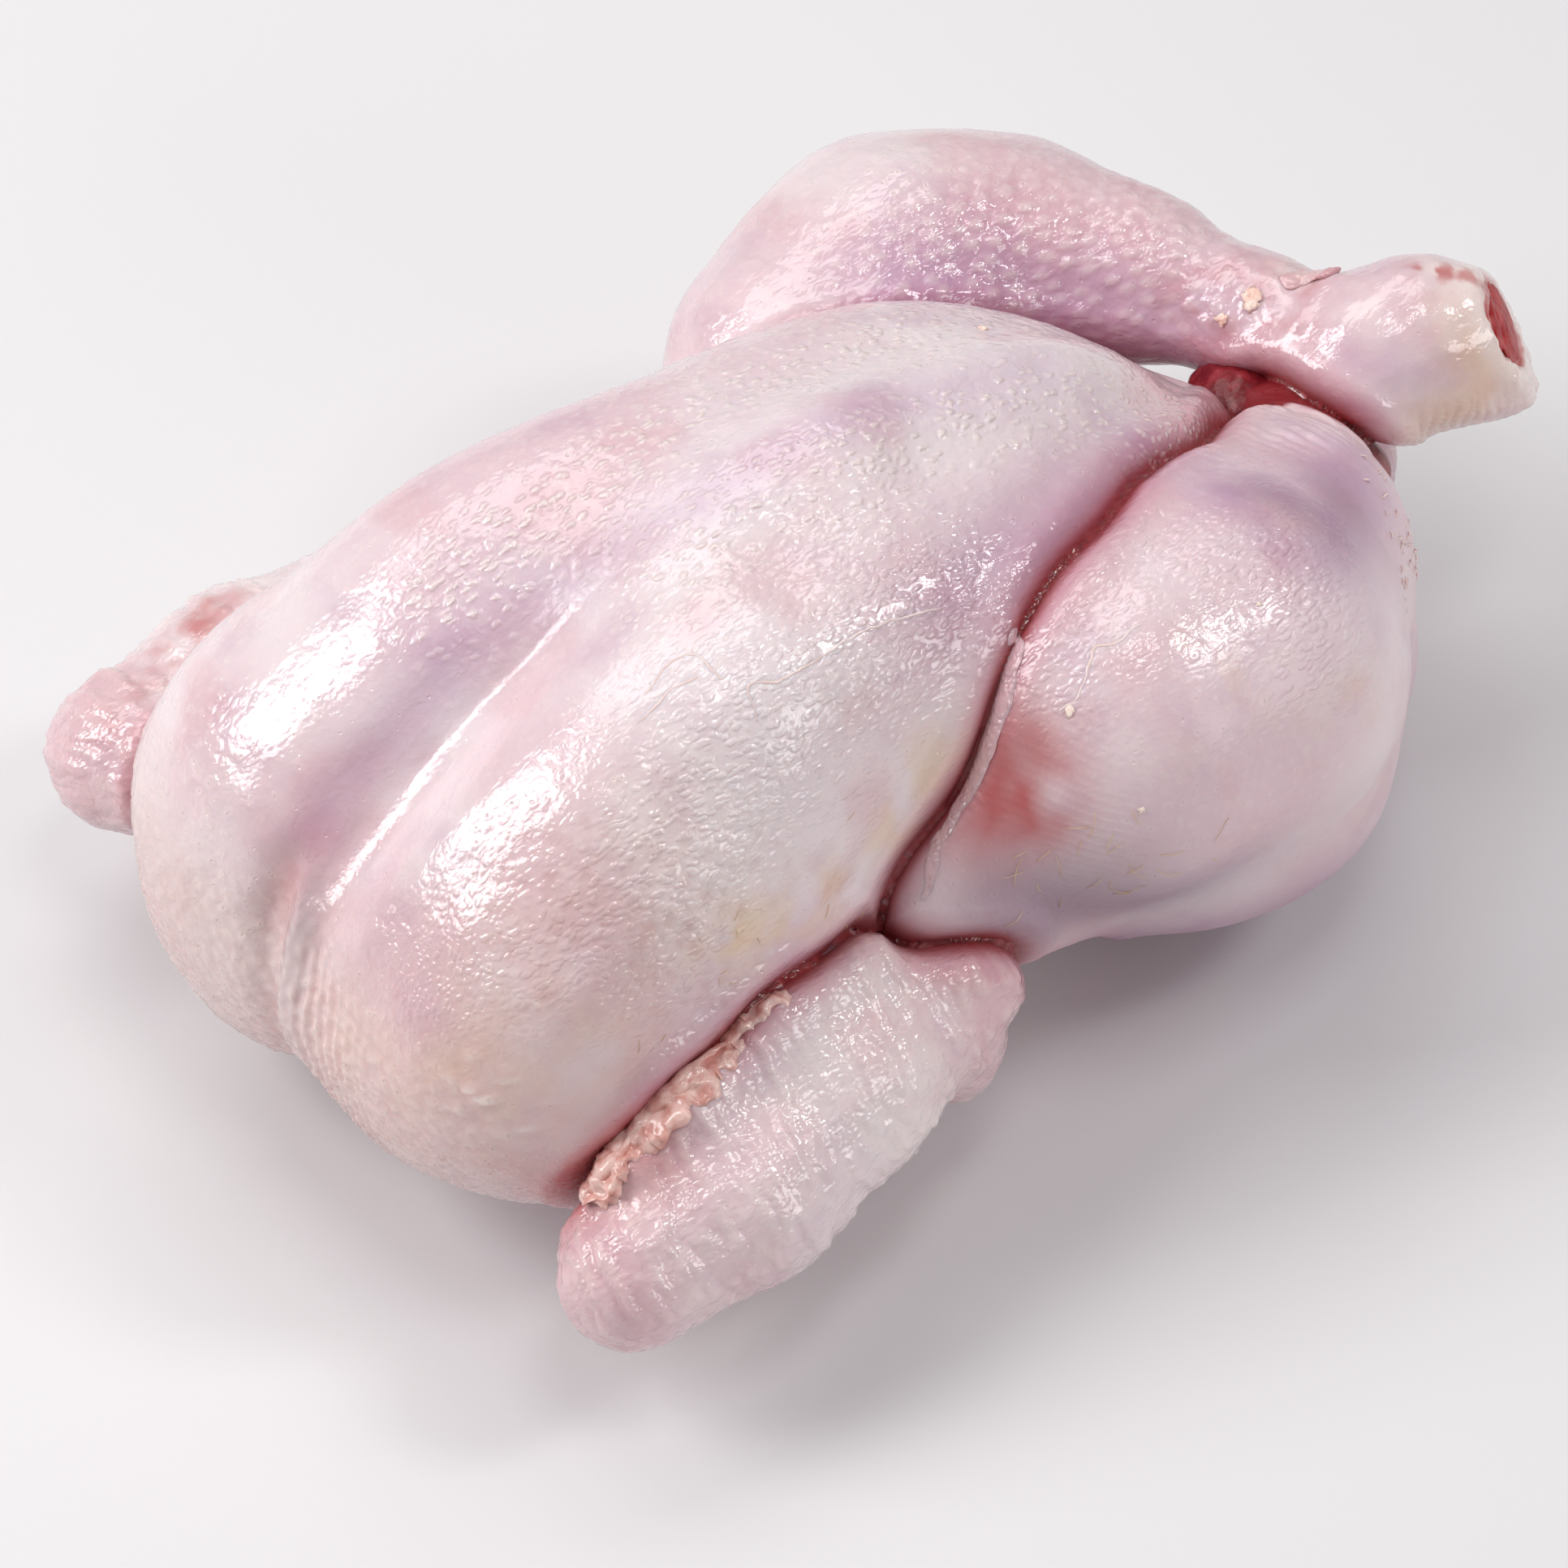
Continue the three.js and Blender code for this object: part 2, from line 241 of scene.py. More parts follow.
def birdDistance(p, distances=None):
    # the regions melted together, a crease pressed in where two are equally near, then the grooves
    distances = distances or [regionDistance(p, region) for region in regions]
    nearest = np.sort(np.stack(distances), axis=0)[:2]
    whole = distances[0]
    for distance in distances[1:]:
        whole = swell(whole, distance, join["fillet"])
    gap = nearest[1] - nearest[0]
    whole = whole + join["creaseDepth"] * np.exp(-(gap / join["creaseWidth"]) ** 2)
    whole = whole - join["lip"] * np.exp(-((gap - join["lipAt"]) / join["lipWidth"]) ** 2)
    for groove in grooves:
        whole = whole + groove["depth"] * near(p, groove["path"], groove["halfWidth"])
    return press(whole, -p[..., 2], join["restFillet"])


def regionField(region):
    # the whole bird where this region is nearest; past that it dives slowly under its neighbours,
    # never further than the sink depth outside the region's own shape
    own = regions.index(region)

    def field(p):
        distances = [regionDistance(p, each) for each in regions]
        others = np.min(np.stack([d for i, d in enumerate(distances) if i != own]), axis=0)
        beyond = np.clip(distances[own] - others, 0, None)
        dive = birdDistance(p, distances) + join["sinkSlope"] * beyond
        dive = press(dive, distances[own] - join["sinkDepth"], join["sinkFillet"])
        return press(dive, -p[..., 2], join["edgeFillet"])

    return field


# Noise and patterns on whole arrays of points.

def hashed(cells, seed):
    # whole numbers of a lattice cell mixed into one even random number from 0 to 1
    mixedUp = np.full(cells.shape[:-1], 2654435769 * (seed + 1) % 2 ** 32, np.uint32)
    for axis, prime in zip(range(cells.shape[-1]), (374761393, 668265263, 2246822519)):
        whole = (cells[..., axis].astype(np.int64) & 0xffffffff).astype(np.uint32)
        mixedUp = mixedUp ^ whole * np.uint32(prime)
        mixedUp = (mixedUp ^ (mixedUp >> np.uint32(13))) * np.uint32(1274126177)
        mixedUp = mixedUp ^ (mixedUp >> np.uint32(16))
    return mixedUp.astype(np.float32) / 2 ** 32


def cloud(p, size, seed=0, octaves=3):
    # smooth lattice noise from -1 to 1, each octave half the size and half the height of the last
    total, height, weight = 0, 1, 0
    for octave in range(octaves):
        q = p / (size / 2 ** octave)
        cell = np.floor(q)
        t = q - cell
        t = t * t * (3 - 2 * t)
        value = 0
        for corner in np.ndindex(*(2,) * p.shape[-1]):
            share = np.prod(np.where(np.array(corner), t, 1 - t), axis=-1)
            value = value + share * hashed(cell + np.array(corner), seed + 31 * octave)
        total = total + height * (2 * value - 1)
        weight += height
        height /= 2
    return total / weight


def pimples(u, v, pitch, seed=0, lean=0, jitter=0.5, roundness=0.42):
    # a bump at each jittered point of a lattice with every other row shifted, turned by lean:
    # height exp(-(distance / roundness)^2) in units of the pitch; also each bump's random number
    cos, sin = np.cos(np.radians(lean)), np.sin(np.radians(lean))
    a, b = (u * cos + v * sin) / pitch[0], (v * cos - u * sin) / pitch[1]
    row = np.floor(b)
    height, chance = np.zeros_like(a), np.zeros_like(a)
    for dr in (-1, 0, 1):
        shift = 0.5 * np.mod(row + dr, 2)
        column = np.floor(a - shift)
        for dc in (-1, 0, 1):
            cell = np.stack([column + dc, row + dr], -1)
            x = column + dc + shift + 0.5 + jitter * (hashed(cell, seed) - 0.5)
            y = row + dr + 0.5 + jitter * (hashed(cell, seed + 7) - 0.5)
            bump = np.exp(-((a - x) ** 2 + (b - y) ** 2) / roundness ** 2)
            chance = np.where(bump > height, hashed(cell, seed + 13), chance)
            height = np.maximum(height, bump)
    return height, chance


def patches(p, size, seed, low, high):
    # noise turned into patches: 0 where it is below low, 1 where it is above high
    return smooth(low, high, cloud(p, size, seed))


# Skin: each region is spun round its path, then given relief and tints.

def pathFrame(path, t):
    # a Catmull-Rom curve through the path at t from 0 to 1, with its direction, up and side
    knots = np.array(path, float)
    knots = np.concatenate([[2 * knots[0] - knots[1]], knots, [2 * knots[-1] - knots[-2]]])
    spans = len(path) - 1
    span = np.clip(np.floor(t * spans).astype(int), 0, spans - 1)
    s = (t * spans - span)[:, None]
    a, b, c, d = (knots[span + i] for i in range(4))
    plain, square, cube = c - a, 2 * a - 5 * b + 4 * c - d, 3 * b - a - 3 * c + d
    point = 0.5 * (2 * b + plain * s + square * s ** 2 + cube * s ** 3)
    ahead = 0.5 * (plain + 2 * square * s + 3 * cube * s ** 2)
    ahead /= np.linalg.norm(ahead, axis=1, keepdims=True)
    up = np.array([0, 0, 1.0]) - ahead * ahead[:, 2:]
    up /= np.linalg.norm(up, axis=1, keepdims=True)
    return point, ahead, up, np.cross(up, ahead)


def rays(path, s, theta, cap=0.25):
    # rows fan round the path's start, travel along it, and fan round its end; columns turn round
    # it; cap is the share of the rows in each fan
    tilt = np.pi / 2 * (np.clip(s / cap, 0, 1) + np.clip((s - 1 + cap) / cap, 0, 1))
    origin, ahead, up, side = pathFrame(path, np.clip((s - cap) / (1 - 2 * cap), 0, 1))
    out = up[:, None] * np.cos(theta)[None, :, None] + side[:, None] * np.sin(theta)[None, :, None]
    direction = -ahead[:, None] * np.cos(tilt)[:, None, None] + out * np.sin(tilt)[:, None, None]
    origin = np.broadcast_to(origin[:, None], direction.shape)
    return origin.astype(np.float32), direction.astype(np.float32)


cast = dict(strides=34, share=0.75, longest=12, probe=0.4, corrections=4, longestCorrection=2.5,
            leastMove=1e-4, slopes=(0.15, 3))


def castOut(field, origin, direction, start=None):
    # walks out from inside by most of the depth until the surface, then closes in on it by the
    # slope between the last two places; with a start, only closes in on it
    if start is None:
        start = np.zeros(origin.shape[:-1], np.float32)
        for _ in range(cast["strides"]):
            depth = -field(origin + start[..., None] * direction)
            start += cast["share"] * np.clip(depth, 0, cast["longest"])
    reach, before = start, start - cast["probe"]
    last = field(origin + before[..., None] * direction)
    for _ in range(cast["corrections"]):
        value = field(origin + reach[..., None] * direction)
        moved = np.where(np.abs(reach - before) < cast["leastMove"], cast["leastMove"], reach - before)
        steepness = np.clip((value - last) / moved, *cast["slopes"])
        before, last = reach, value
        reach = reach - np.clip(value / steepness, -cast["longestCorrection"], cast["longestCorrection"])
    return reach


def evened(lengths, count):
    # knots spaced so that each step covers the same share of the summed lengths
    total = np.concatenate([[0], np.cumsum(lengths)])
    return np.interp(np.linspace(0, total[-1], count), total, np.linspace(0, 1, len(total)))


def resampled(values, rows, columns):
    # a grid read at other rows (0 to 1) and wrapped columns (0 to 1), by straight interpolation
    r = rows * (values.shape[0] - 1)
    c = columns * values.shape[1]
    r0, c0 = np.minimum(r.astype(int), values.shape[0] - 2), c.astype(int) % values.shape[1]
    fr, fc = (r - r0)[:, None], (c - np.floor(c))[None]
    c1 = (c0 + 1) % values.shape[1]
    top = values[r0][:, c0] * (1 - fc) + values[r0][:, c1] * fc
    low = values[r0 + 1][:, c0] * (1 - fc) + values[r0 + 1][:, c1] * fc
    return (top * (1 - fr) + low * fr).astype(np.float32)


def spun(region, coarse=72, pole=0.004):
    # the region's surface as a grid of points, rows from one pole to the other, columns round; a
    # coarse grid is cast first, to space the rows and columns evenly
    field = regionField(region)
    rows, columns = region["grid"]
    s = np.linspace(pole, 1 - pole, coarse)
    theta = np.linspace(0, 2 * np.pi, coarse, endpoint=False)
    origin, direction = rays(region["path"], s, theta)
    reach = castOut(field, origin, direction)
    points = origin + reach[..., None] * direction
    rowLengths = np.linalg.norm(np.diff(points, axis=0), axis=-1).mean(1)
    ringLengths = np.linalg.norm(np.roll(points, -1, 1) - points, axis=-1).mean(0)
    middle = theta + np.pi / coarse
    ringLengths *= 1 + region["dense"][1] * np.clip(np.cos(middle - np.radians(region["dense"][0])), 0, 1)
    rowAt = evened(rowLengths, rows)
    columnAt = evened(ringLengths, columns + 1)[:-1]
    origin, direction = rays(region["path"], pole + (1 - 2 * pole) * rowAt, 2 * np.pi * columnAt)
    reach = castOut(field, origin, direction, resampled(reach, rowAt, columnAt))
    return facingOut(origin + reach[..., None] * direction)


def gridNormals(points):
    # cross product of the steps along the rows and round the columns
    along = np.gradient(points, axis=0)
    around = np.roll(points, -1, 1) - np.roll(points, 1, 1)
    normals = np.cross(around, along)
    normals /= np.linalg.norm(normals, axis=-1, keepdims=True) + 1e-9
    return normals


def facingOut(points):
    # the same grid, its columns turned round if its faces would point inwards
    outward = points - points.mean(1, keepdims=True)
    return points if (gridNormals(points) * outward).sum() > 0 else points[:, ::-1]


def gridFaces(points, start):
    # quads between rows, columns wrapped, and a fan of triangles to a point at each end
    rows, columns = points.shape[:2]
    index = start + np.arange(rows * columns).reshape(rows, columns)
    right = np.roll(index, -1, 1)
    quads = np.stack([index[:-1], right[:-1], right[1:], index[1:]], -1).reshape(-1, 4)
    first = start + rows * columns
    startFan = np.stack([np.full(columns, first), right[0], index[0]], -1)
    endFan = np.stack([np.full(columns, first + 1), index[-1], right[-1]], -1)
    vertices = np.concatenate([points.reshape(-1, 3), points[:1].mean(1), points[-1:].mean(1)])
    corners = np.concatenate([quads.ravel(), startFan.ravel(), endFan.ravel()])
    return vertices, corners, np.repeat((4, 3), (len(quads), 2 * columns))


def makePiece(name, grids, material, tints=()):
    # one mesh of closed grids, riding with the bird, standing for its solid; tints has a dictionary of
    # tint to values for each grid
    vertices, corners, sizes = [], [], []
    start = 0
    for points in grids:
        parts = gridFaces(points, start)
        start += len(parts[0])
        for whole, part in zip((vertices, corners, sizes), parts):
            whole.append(part)
    vertices, corners, sizes = (np.concatenate(parts) for parts in (vertices, corners, sizes))
    mesh = bpy.data.meshes.new(name)
    mesh.vertices.add(len(vertices))
    mesh.vertices.foreach_set("co", (vertices * mm).astype(np.float32).ravel())
    mesh.loops.add(len(corners))
    mesh.loops.foreach_set("vertex_index", corners.astype(np.int32))
    mesh.polygons.add(len(sizes))
    mesh.polygons.foreach_set("loop_start", np.concatenate([[0], np.cumsum(sizes)[:-1]]).astype(np.int32))
    mesh.polygons.foreach_set("use_smooth", np.ones(len(sizes), bool))
    mesh.update(calc_edges=True)
    mesh.validate()
    for tint in tints[0] if tints else ():
        values = [each[tint] for each in tints]
        flat = np.concatenate([np.append(part.ravel(), (part[0].mean(), part[-1].mean())) for part in values])
        mesh.attributes.new(tint, "FLOAT", "POINT").data.foreach_set("value", flat.astype(np.float32))
    mesh.materials.append(material)
    piece = bpy.data.objects.new(name, mesh)
    bpy.context.scene.collection.objects.link(piece)
    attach(piece, "root")
    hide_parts("chicken")
    print(f"{name}: {len(sizes)} faces")


def markedTints(p, marks):
    # each mark is (tint, share, path, width) and adds share * near(path, width) to its tint; with
    # (size, seed, low, high) behind, it is broken up into patches
    tints = {}
    for tint, share, path, width, *breaks in marks:
        amount = share * near(p, path, width)
        for each in breaks:
            amount = amount * patches(p, *each)
        tints[tint] = tints.get(tint, 0) + amount
    return tints


def added(tints, more):
    # two sets of tints summed
    return {tint: tints.get(tint, 0) + more.get(tint, 0) for tint in {**tints, **more}}


def summed(heights, patterns):
    # each pattern times the height of its name, in millimetres
    return sum(heights[name] * pattern for name, pattern in patterns.items())


trunkSkin = dict(
    heights=dict(bands=0.25, sheen=0.1, dimples=-0.12, pleats=0.36, neck=0.34, pearls=0.9, tip=0.25,
                 lumps=0.45, ripples=0.16),
    bands=dict(width=9, bumps=dict(pitch=(3.6, 2.0), seed=11, lean=-14, jitter=0.45, roundness=0.36)),
    sheen=dict(width=15, bumps=dict(pitch=(3.2, 2.1), seed=23, lean=35, jitter=0.9, roundness=0.5)),
    dimples=dict(width=13, bumps=dict(pitch=(3.1, 2.8), seed=37, lean=38, jitter=0.8, roundness=0.42)),
    neckBumps=dict(pitch=(2.6, 2.2), seed=43, lean=60, jitter=0.6),
    pearlBumps=dict(pitch=(2.6, 2.1), seed=41, jitter=0.7, roundness=0.36),
    pearls=[([(-84, -40, 58), (-81, -44, 54)], 5), ([(-84, 24, 66), (-88, 16, 54)], 6)],
    tip=([(63, -6, 80), (72, -4, 70)], 9),
    tipPitch=2.6,
    pleats=dict(pitch=2.3, starts=(5, 9), ends=(26, 16), side=(2, -4), top=(62, 48)),
    neck=dict(ahead=(-72, -86), top=(70, 50)),
    marks=[
        ("yellow", 0.8, lines["fat"], 6, (5, 67, -0.4, 0.4)),
        ("yellow", 0.5, [(-68, -47, 60), (-78, -40, 60), (-86, -28, 52)], 14, (12, 73, -0.6, 0.4)),
        ("net", 0.5, [(-80, -30, 70), (-60, -44, 72)], 12),
    ],
)


def trunkRelief(p):
    # u runs to the tail and v round the body; each pattern is bumps or waves on them, times the
    # mask of its place
    look = trunkSkin
    u, v = p[..., 0], np.arctan2(p[..., 1], p[..., 2] - 45) * 48
    warp = cloud(p, 16, 3) * 2.5
    width = look["bands"]["width"]
    bands = np.clip(near(p, lines["leftBand"], width) + near(p, lines["rightBand"], width), 0, 1)
    bandBumps, chance = pimples(u + warp, v + warp * 0.5, **look["bands"]["bumps"])
    bandBumps *= 0.3 + 0.7 * chance
    sheen = near(p, lines["sheen"], look["sheen"]["width"])
    sheenBumps, _ = pimples(u + warp, v - warp, **look["sheen"]["bumps"])
    dimples = near(p, lines["dimples"], look["dimples"]["width"])
    pits, pitChance = pimples(u + warp, v + warp, **look["dimples"]["bumps"])
    cleft = distanceTo(p, lines["cleft"])
    place = look["pleats"]
    pleated = smooth(*place["starts"], cleft) * smooth(*place["ends"], cleft)
    pleated = pleated * smooth(*place["side"], p[..., 1]) * smooth(*place["top"], p[..., 2])
    pleats = np.cos(2 * np.pi * (cleft + 1.4 * cloud(p * (1, 1, 0.4), 9, 5)) / place["pitch"])
    neck = smooth(*look["neck"]["ahead"], u) * smooth(*look["neck"]["top"], p[..., 2])
    neckBumps, _ = pimples(p[..., 1], p[..., 2], **look["neckBumps"])
    pearls = sum(near(p, *spot) for spot in look["pearls"])
    pearlBumps, chance = pimples(u * 0.3 + p[..., 1], p[..., 2], **look["pearlBumps"])
    pearlBumps *= smooth(0.3, 0.6, chance)
    tip = near(p, *look["tip"])
    height = summed(look["heights"], dict(
        bands=bands * bandBumps,
        sheen=sheen * (sheenBumps - 0.4),
        dimples=dimples * pits * smooth(0.2, 0.6, pitChance),
        pleats=pleated * pleats,
        neck=neck * neckBumps,
        pearls=pearls * pearlBumps,
        tip=tip * np.cos(2 * np.pi * (v + warp) / look["tipPitch"]),
        lumps=cloud(p, 15, 51, 2),
        ripples=cloud(p, 4.5, 57, 2),
    ))
    tints = dict(
        cream=0.4 * bands * smooth(0.3, 0.8, bandBumps) + 0.25 * sheen * sheenBumps + 0.4 * neck * neckBumps
        + pearls * smooth(0.3, 0.8, pearlBumps) + 0.3 * pleated * smooth(-0.4, 1, pleats),
        rust=0.6 * dimples * smooth(0.2, 0.9, pits) * smooth(0.1, 0.7, pitChance)
        * patches(p, 12, 61, -0.6, 0.2),
        yellow=0.25 * neck + 0.2 * dimples,
        pink=0.4 * smooth(-50, -84, u + 0.3 * p[..., 1]) * patches(p, 14, 69, -0.6, 0.4),
        goose=np.clip(0.25 + bands + neck + dimples * 0.6 + patches(p, 24, 71, -0.2, 0.7), 0, 1),
        net=sheen,
        comb=bands + 0.3 * tip,
        dull=0.6 * smooth(66, 40, p[..., 2]) + 0.5 * smooth(36, 46, p[..., 1]),
    )
    return height, added(tints, markedTints(p, look["marks"]))


leftLegSkin = dict(
    heights=dict(bumps=0.5, scales=0.2, sinew=0.5, joint=0.5, marrow=-0.7, face=0.45, lumps=0.4,
                 ripples=0.14),
    bumpy=([(56, 44, 78), (69, 38, 74), (78, 32, 71), (88, 24, 70)], 17),
    bumps=dict(pitch=(4.2, 3.0), seed=111, lean=20, jitter=0.5, roundness=0.4),
    sinew=([(90, 14, 66), (97, 9, 66), (103, 4, 68)], 7),
    scalePitch=1.7,
    jointAhead=(97, 108),
    scalyBelow=(64, 56),
    faceBelow=(-1.3, -0.4),  # over this stretch below the plane of the cut
    marrow=dict(at=(126.0, -15.6, 65.5), edge=(7.6, 6.2), ragged=1.6),
    marks=[
        ("cream", 0.5, [(119, -12, 73), (123, -17, 70)], 5),
        # the violet, pink and plum along the middle and lower side of the drumstick darken it: painted shade
        ("violet", 0.8, [(50, 42, 72), (64, 37, 69), (80, 26, 64), (90, 15, 60)], 10),
        ("violet", 0.9, [(104, -10, 68), (111, -16, 70)], 4.5),
        ("violet", 0.5, [(108, -14, 64)], 6),
        ("pink", 0.5, [(54, 42, 73), (68, 36, 70), (82, 26, 65)], 10),
        ("red", 0.9, [(117, -7, 76), (121, -10, 75), (124, -13, 73)], 2.2, (3, 143, -0.2, 0.2)),
        ("red", 0.5, [(88, 8, 58), (95, -2, 58), (99, -12, 57)], 5, (3, 155, -0.2, 0.4)),
        ("plum", 0.35, [(64, 34, 66), (80, 24, 60), (90, 12, 56)], 8),
    ],
    yellow=([(117, -16, 68), (121, -20, 64), (116, -20, 60), (110, -18, 58)], 6.5),
)


def leftLegRelief(p):
    # u runs to the hock and v round the leg; the face is within about 1 mm of the cut's plane, and
    # the marrow is the part of it that lies within a ragged radius
    look = leftLegSkin
    u = p @ np.array((0.86, -0.5, 0.08))
    v = np.arctan2(p[..., 2] - 56, -(p[..., 0] * 0.5 + p[..., 1] * 0.86 - 76)) * 21
    warp = cloud(p, 14, 103) * 1.6
    bumpy = near(p, *look["bumpy"])
    bumps, chance = pimples(u + warp, v + warp, **look["bumps"])
    joint = smooth(*look["jointAhead"], p[..., 0])
    scaly = joint * smooth(*look["scalyBelow"], p[..., 2])
    run = p @ np.array((0.8, -0.6, 0)) + 2 * cloud(p, 5, 127)
    scales = np.abs(np.sin(np.pi * run / look["scalePitch"]))
    sinew = near(p, *look["sinew"])
    cut = leftLeg["cut"]
    outward = np.array(cut["outward"]) / np.linalg.norm(cut["outward"])
    below = (p - np.array(cut["at"])) @ outward
    inFace = p - np.array(look["marrow"]["at"])
    radius = np.linalg.norm((inFace - (inFace @ outward)[..., None] * outward) * (1, 1, 0.8), axis=-1)
    face = smooth(*look["faceBelow"], below)
    marrow = face * smooth(*look["marrow"]["edge"], radius + look["marrow"]["ragged"] * cloud(p, 3, 151))
    height = summed(look["heights"], dict(
        bumps=bumpy * bumps * (0.3 + 0.7 * chance),
        scales=scaly * (scales - 0.6),
        sinew=sinew * cloud(p, 3.0, 131, 2),
        joint=joint * cloud(p, 6, 133, 2),
        marrow=marrow,
        face=face * cloud(p, 2.2, 135, 2),
        lumps=cloud(p, 13, 137, 2),
        ripples=cloud(p, 4, 139, 2),
    ))
    tints = dict(
        cream=0.45 * bumpy * smooth(0.3, 0.9, bumps) + 0.6 * joint * patches(p, 8, 141, -0.2, 0.5)
        + face * smooth(0.5, 0.1, marrow) + 0.8 * smooth(-5, -1, below),
        yellow=joint * near(p, *look["yellow"]),
        rust=0.8 * scaly * smooth(0.5, 0.1, scales),
        pink=0.5 * joint * patches(p, 7, 153, 0, 0.6) + 0.1 * (1 - joint),
        red=0.65 * sinew * patches(p, 4, 149, -0.3, 0.5)
        + 1.2 * marrow * patches(p * (1, 1, 0.5), 5, 159, -1.2, -0.2),
        goose=np.clip(0.4 + bumpy, 0, 1) * (1 - joint),
        net=0.3 * bumpy,
    )
    return height, added(tints, markedTints(p, look["marks"]))


rightLegSkin = dict(
    heights=dict(wrinkles=0.15, striae=0.08, bumps=0.22, pleats=0.3, lumps=0.45, ripples=0.10),
    edge=([(20, -32, 84), (40, -20, 84), (60, -12, 78), (80, -8, 66), (88, -14, 66)], 9),
    wrinkles=dict(pitch=(2.9, 2.2), seed=211, lean=40, jitter=0.8),
    bumpy=([(82, -12, 68), (72, -20, 78), (60, -24, 86)], 10),
    bumps=dict(pitch=(2.7, 2.3), seed=213, lean=20, jitter=0.5),
    striae=([(6, -52, 72), (12, -54, 77), (12, -58, 70)], 8),
    striaPitch=1.5,
    top=([(84, -14, 66), (80, -22, 72)], 9),
    pleatPitch=2.4,
    bare=dict(at=(87, -8, 58), outward=(0.57, 0.81, -0.1), side=(-10, -7), ahead=(82, 86)),
    marks=[
        ("red", 0.75, [(7, -46, 79), (4, -48, 74), (2, -51, 68), (-1, -51, 64)], 6),
        ("red", 0.6, [(8, -52, 74), (5, -54, 68)], 7, (9, 227, -0.9, 0.1)),
        # painted shade: the violet and plum patch on the leg's outer side, and the violet, grey and plum
        # along its underside beside the wing
        ("violet", 0.9, [(61, -38, 89), (66, -47, 86), (80, -34, 76)], 11, (9, 235, -1, 0.1)),
        ("violet", 0.6, [(6, -56, 50), (16, -62, 48), (28, -66, 44)], 8),
        ("grey", 0.8, [(2, -54, 50), (12, -60, 54), (26, -62, 44)], 12),
        ("plum", 0.7, [(0, -53, 55), (10, -58, 48), (20, -64, 42)], 8),
        ("plum", 0.5, [(60, -40, 88), (66, -47, 85), (74, -40, 80)], 8),
        ("yellow", 0.6, [(33, -55, 86), (36, -60, 80), (56, -66, 72), (26, -60, 76)], 4, (4, 231, -0.2, 0.5)),
        ("net", 0.6, [(12, -46, 84), (22, -42, 88), (34, -34, 90)], 8),
        ("net", 1, [(46, -46, 92), (54, -50, 88), (52, -62, 78)], 10),
    ],
)


def rightLegRelief(p):
    # u runs to the hock and v round the leg; striae are waves across a slanting direction, and the
    # bare muscle lies beyond a ragged plane at the hock
    look = rightLegSkin
    bare = look["bare"]
    u, v = p[..., 0] + 0.3 * p[..., 1], np.arctan2(p[..., 1] + 38, p[..., 2] - 50) * 26
    warp = cloud(p, 14, 203) * 1.8
    edge = near(p, *look["edge"])
    wrinkles, _ = pimples(u + warp, v + warp, **look["wrinkles"])
    bumps, _ = pimples(u + warp, v - warp, **look["bumps"])
    striae = near(p, *look["striae"])
    across = p @ np.array((0.45, 0.1, 0.9)) + 0.9 * cloud(p, 12, 217)
    waves = np.cos(2 * np.pi * across / look["striaPitch"])
    top = near(p, *look["top"])
    pleats = np.cos(2 * np.pi * (u + 1.6 * warp) / look["pleatPitch"])
    height = summed(look["heights"], dict(
        wrinkles=edge * wrinkles,
        striae=striae * waves,
        bumps=near(p, *look["bumpy"]) * bumps,
        pleats=top * pleats * patches(p, 6, 219, -0.5, 0.3),
        lumps=cloud(p, 16, 221, 2),
        ripples=cloud(p, 4.5, 223, 2),
    ))
    tints = dict(
        cream=0.4 * edge * wrinkles + 0.5 * striae * smooth(0.55, 1, waves),
        # violet, the lower share of pink, and plum darken the leg towards its underside: painted shade
        violet=0.9 * smooth(40, 16, p[..., 2]),
        pink=0.08 * smooth(70, 86, p[..., 2]) + 0.3 * smooth(45, 20, p[..., 2]),
        dull=smooth(88, 80, p[..., 2]) + 0.5 * smooth(-52, -60, p[..., 1]),
        plum=0.4 * smooth(36, 16, p[..., 2]),
        muscle=smooth(0, 2, (p - bare["at"]) @ bare["outward"] + 0.8 * cloud(p, 3, 229))
        + smooth(*bare["side"], p[..., 1]) * smooth(*bare["ahead"], p[..., 0]),
        goose=np.clip(0.3 + 0.7 * edge + top, 0, 1),
    )
    return height, added(tints, markedTints(p, look["marks"]))


wingSkin = dict(
    heights=dict(ridges=0.55, fine=0.15, lumps=0.7, ripples=0.22),
    ridges=dict(pitch=(2.9, 6.5), jitter=0.8, roundness=0.46),
    fine=dict(pitch=(2.2, 2.2), jitter=0.9),
    blood=([(-58, 69, 45), (-68, 66, 44), (-78, 61, 42)], 5),
    wrist=(-68, -80),
    elbow=(-24, -6),
    ridgesAbove=(14, 34),
)


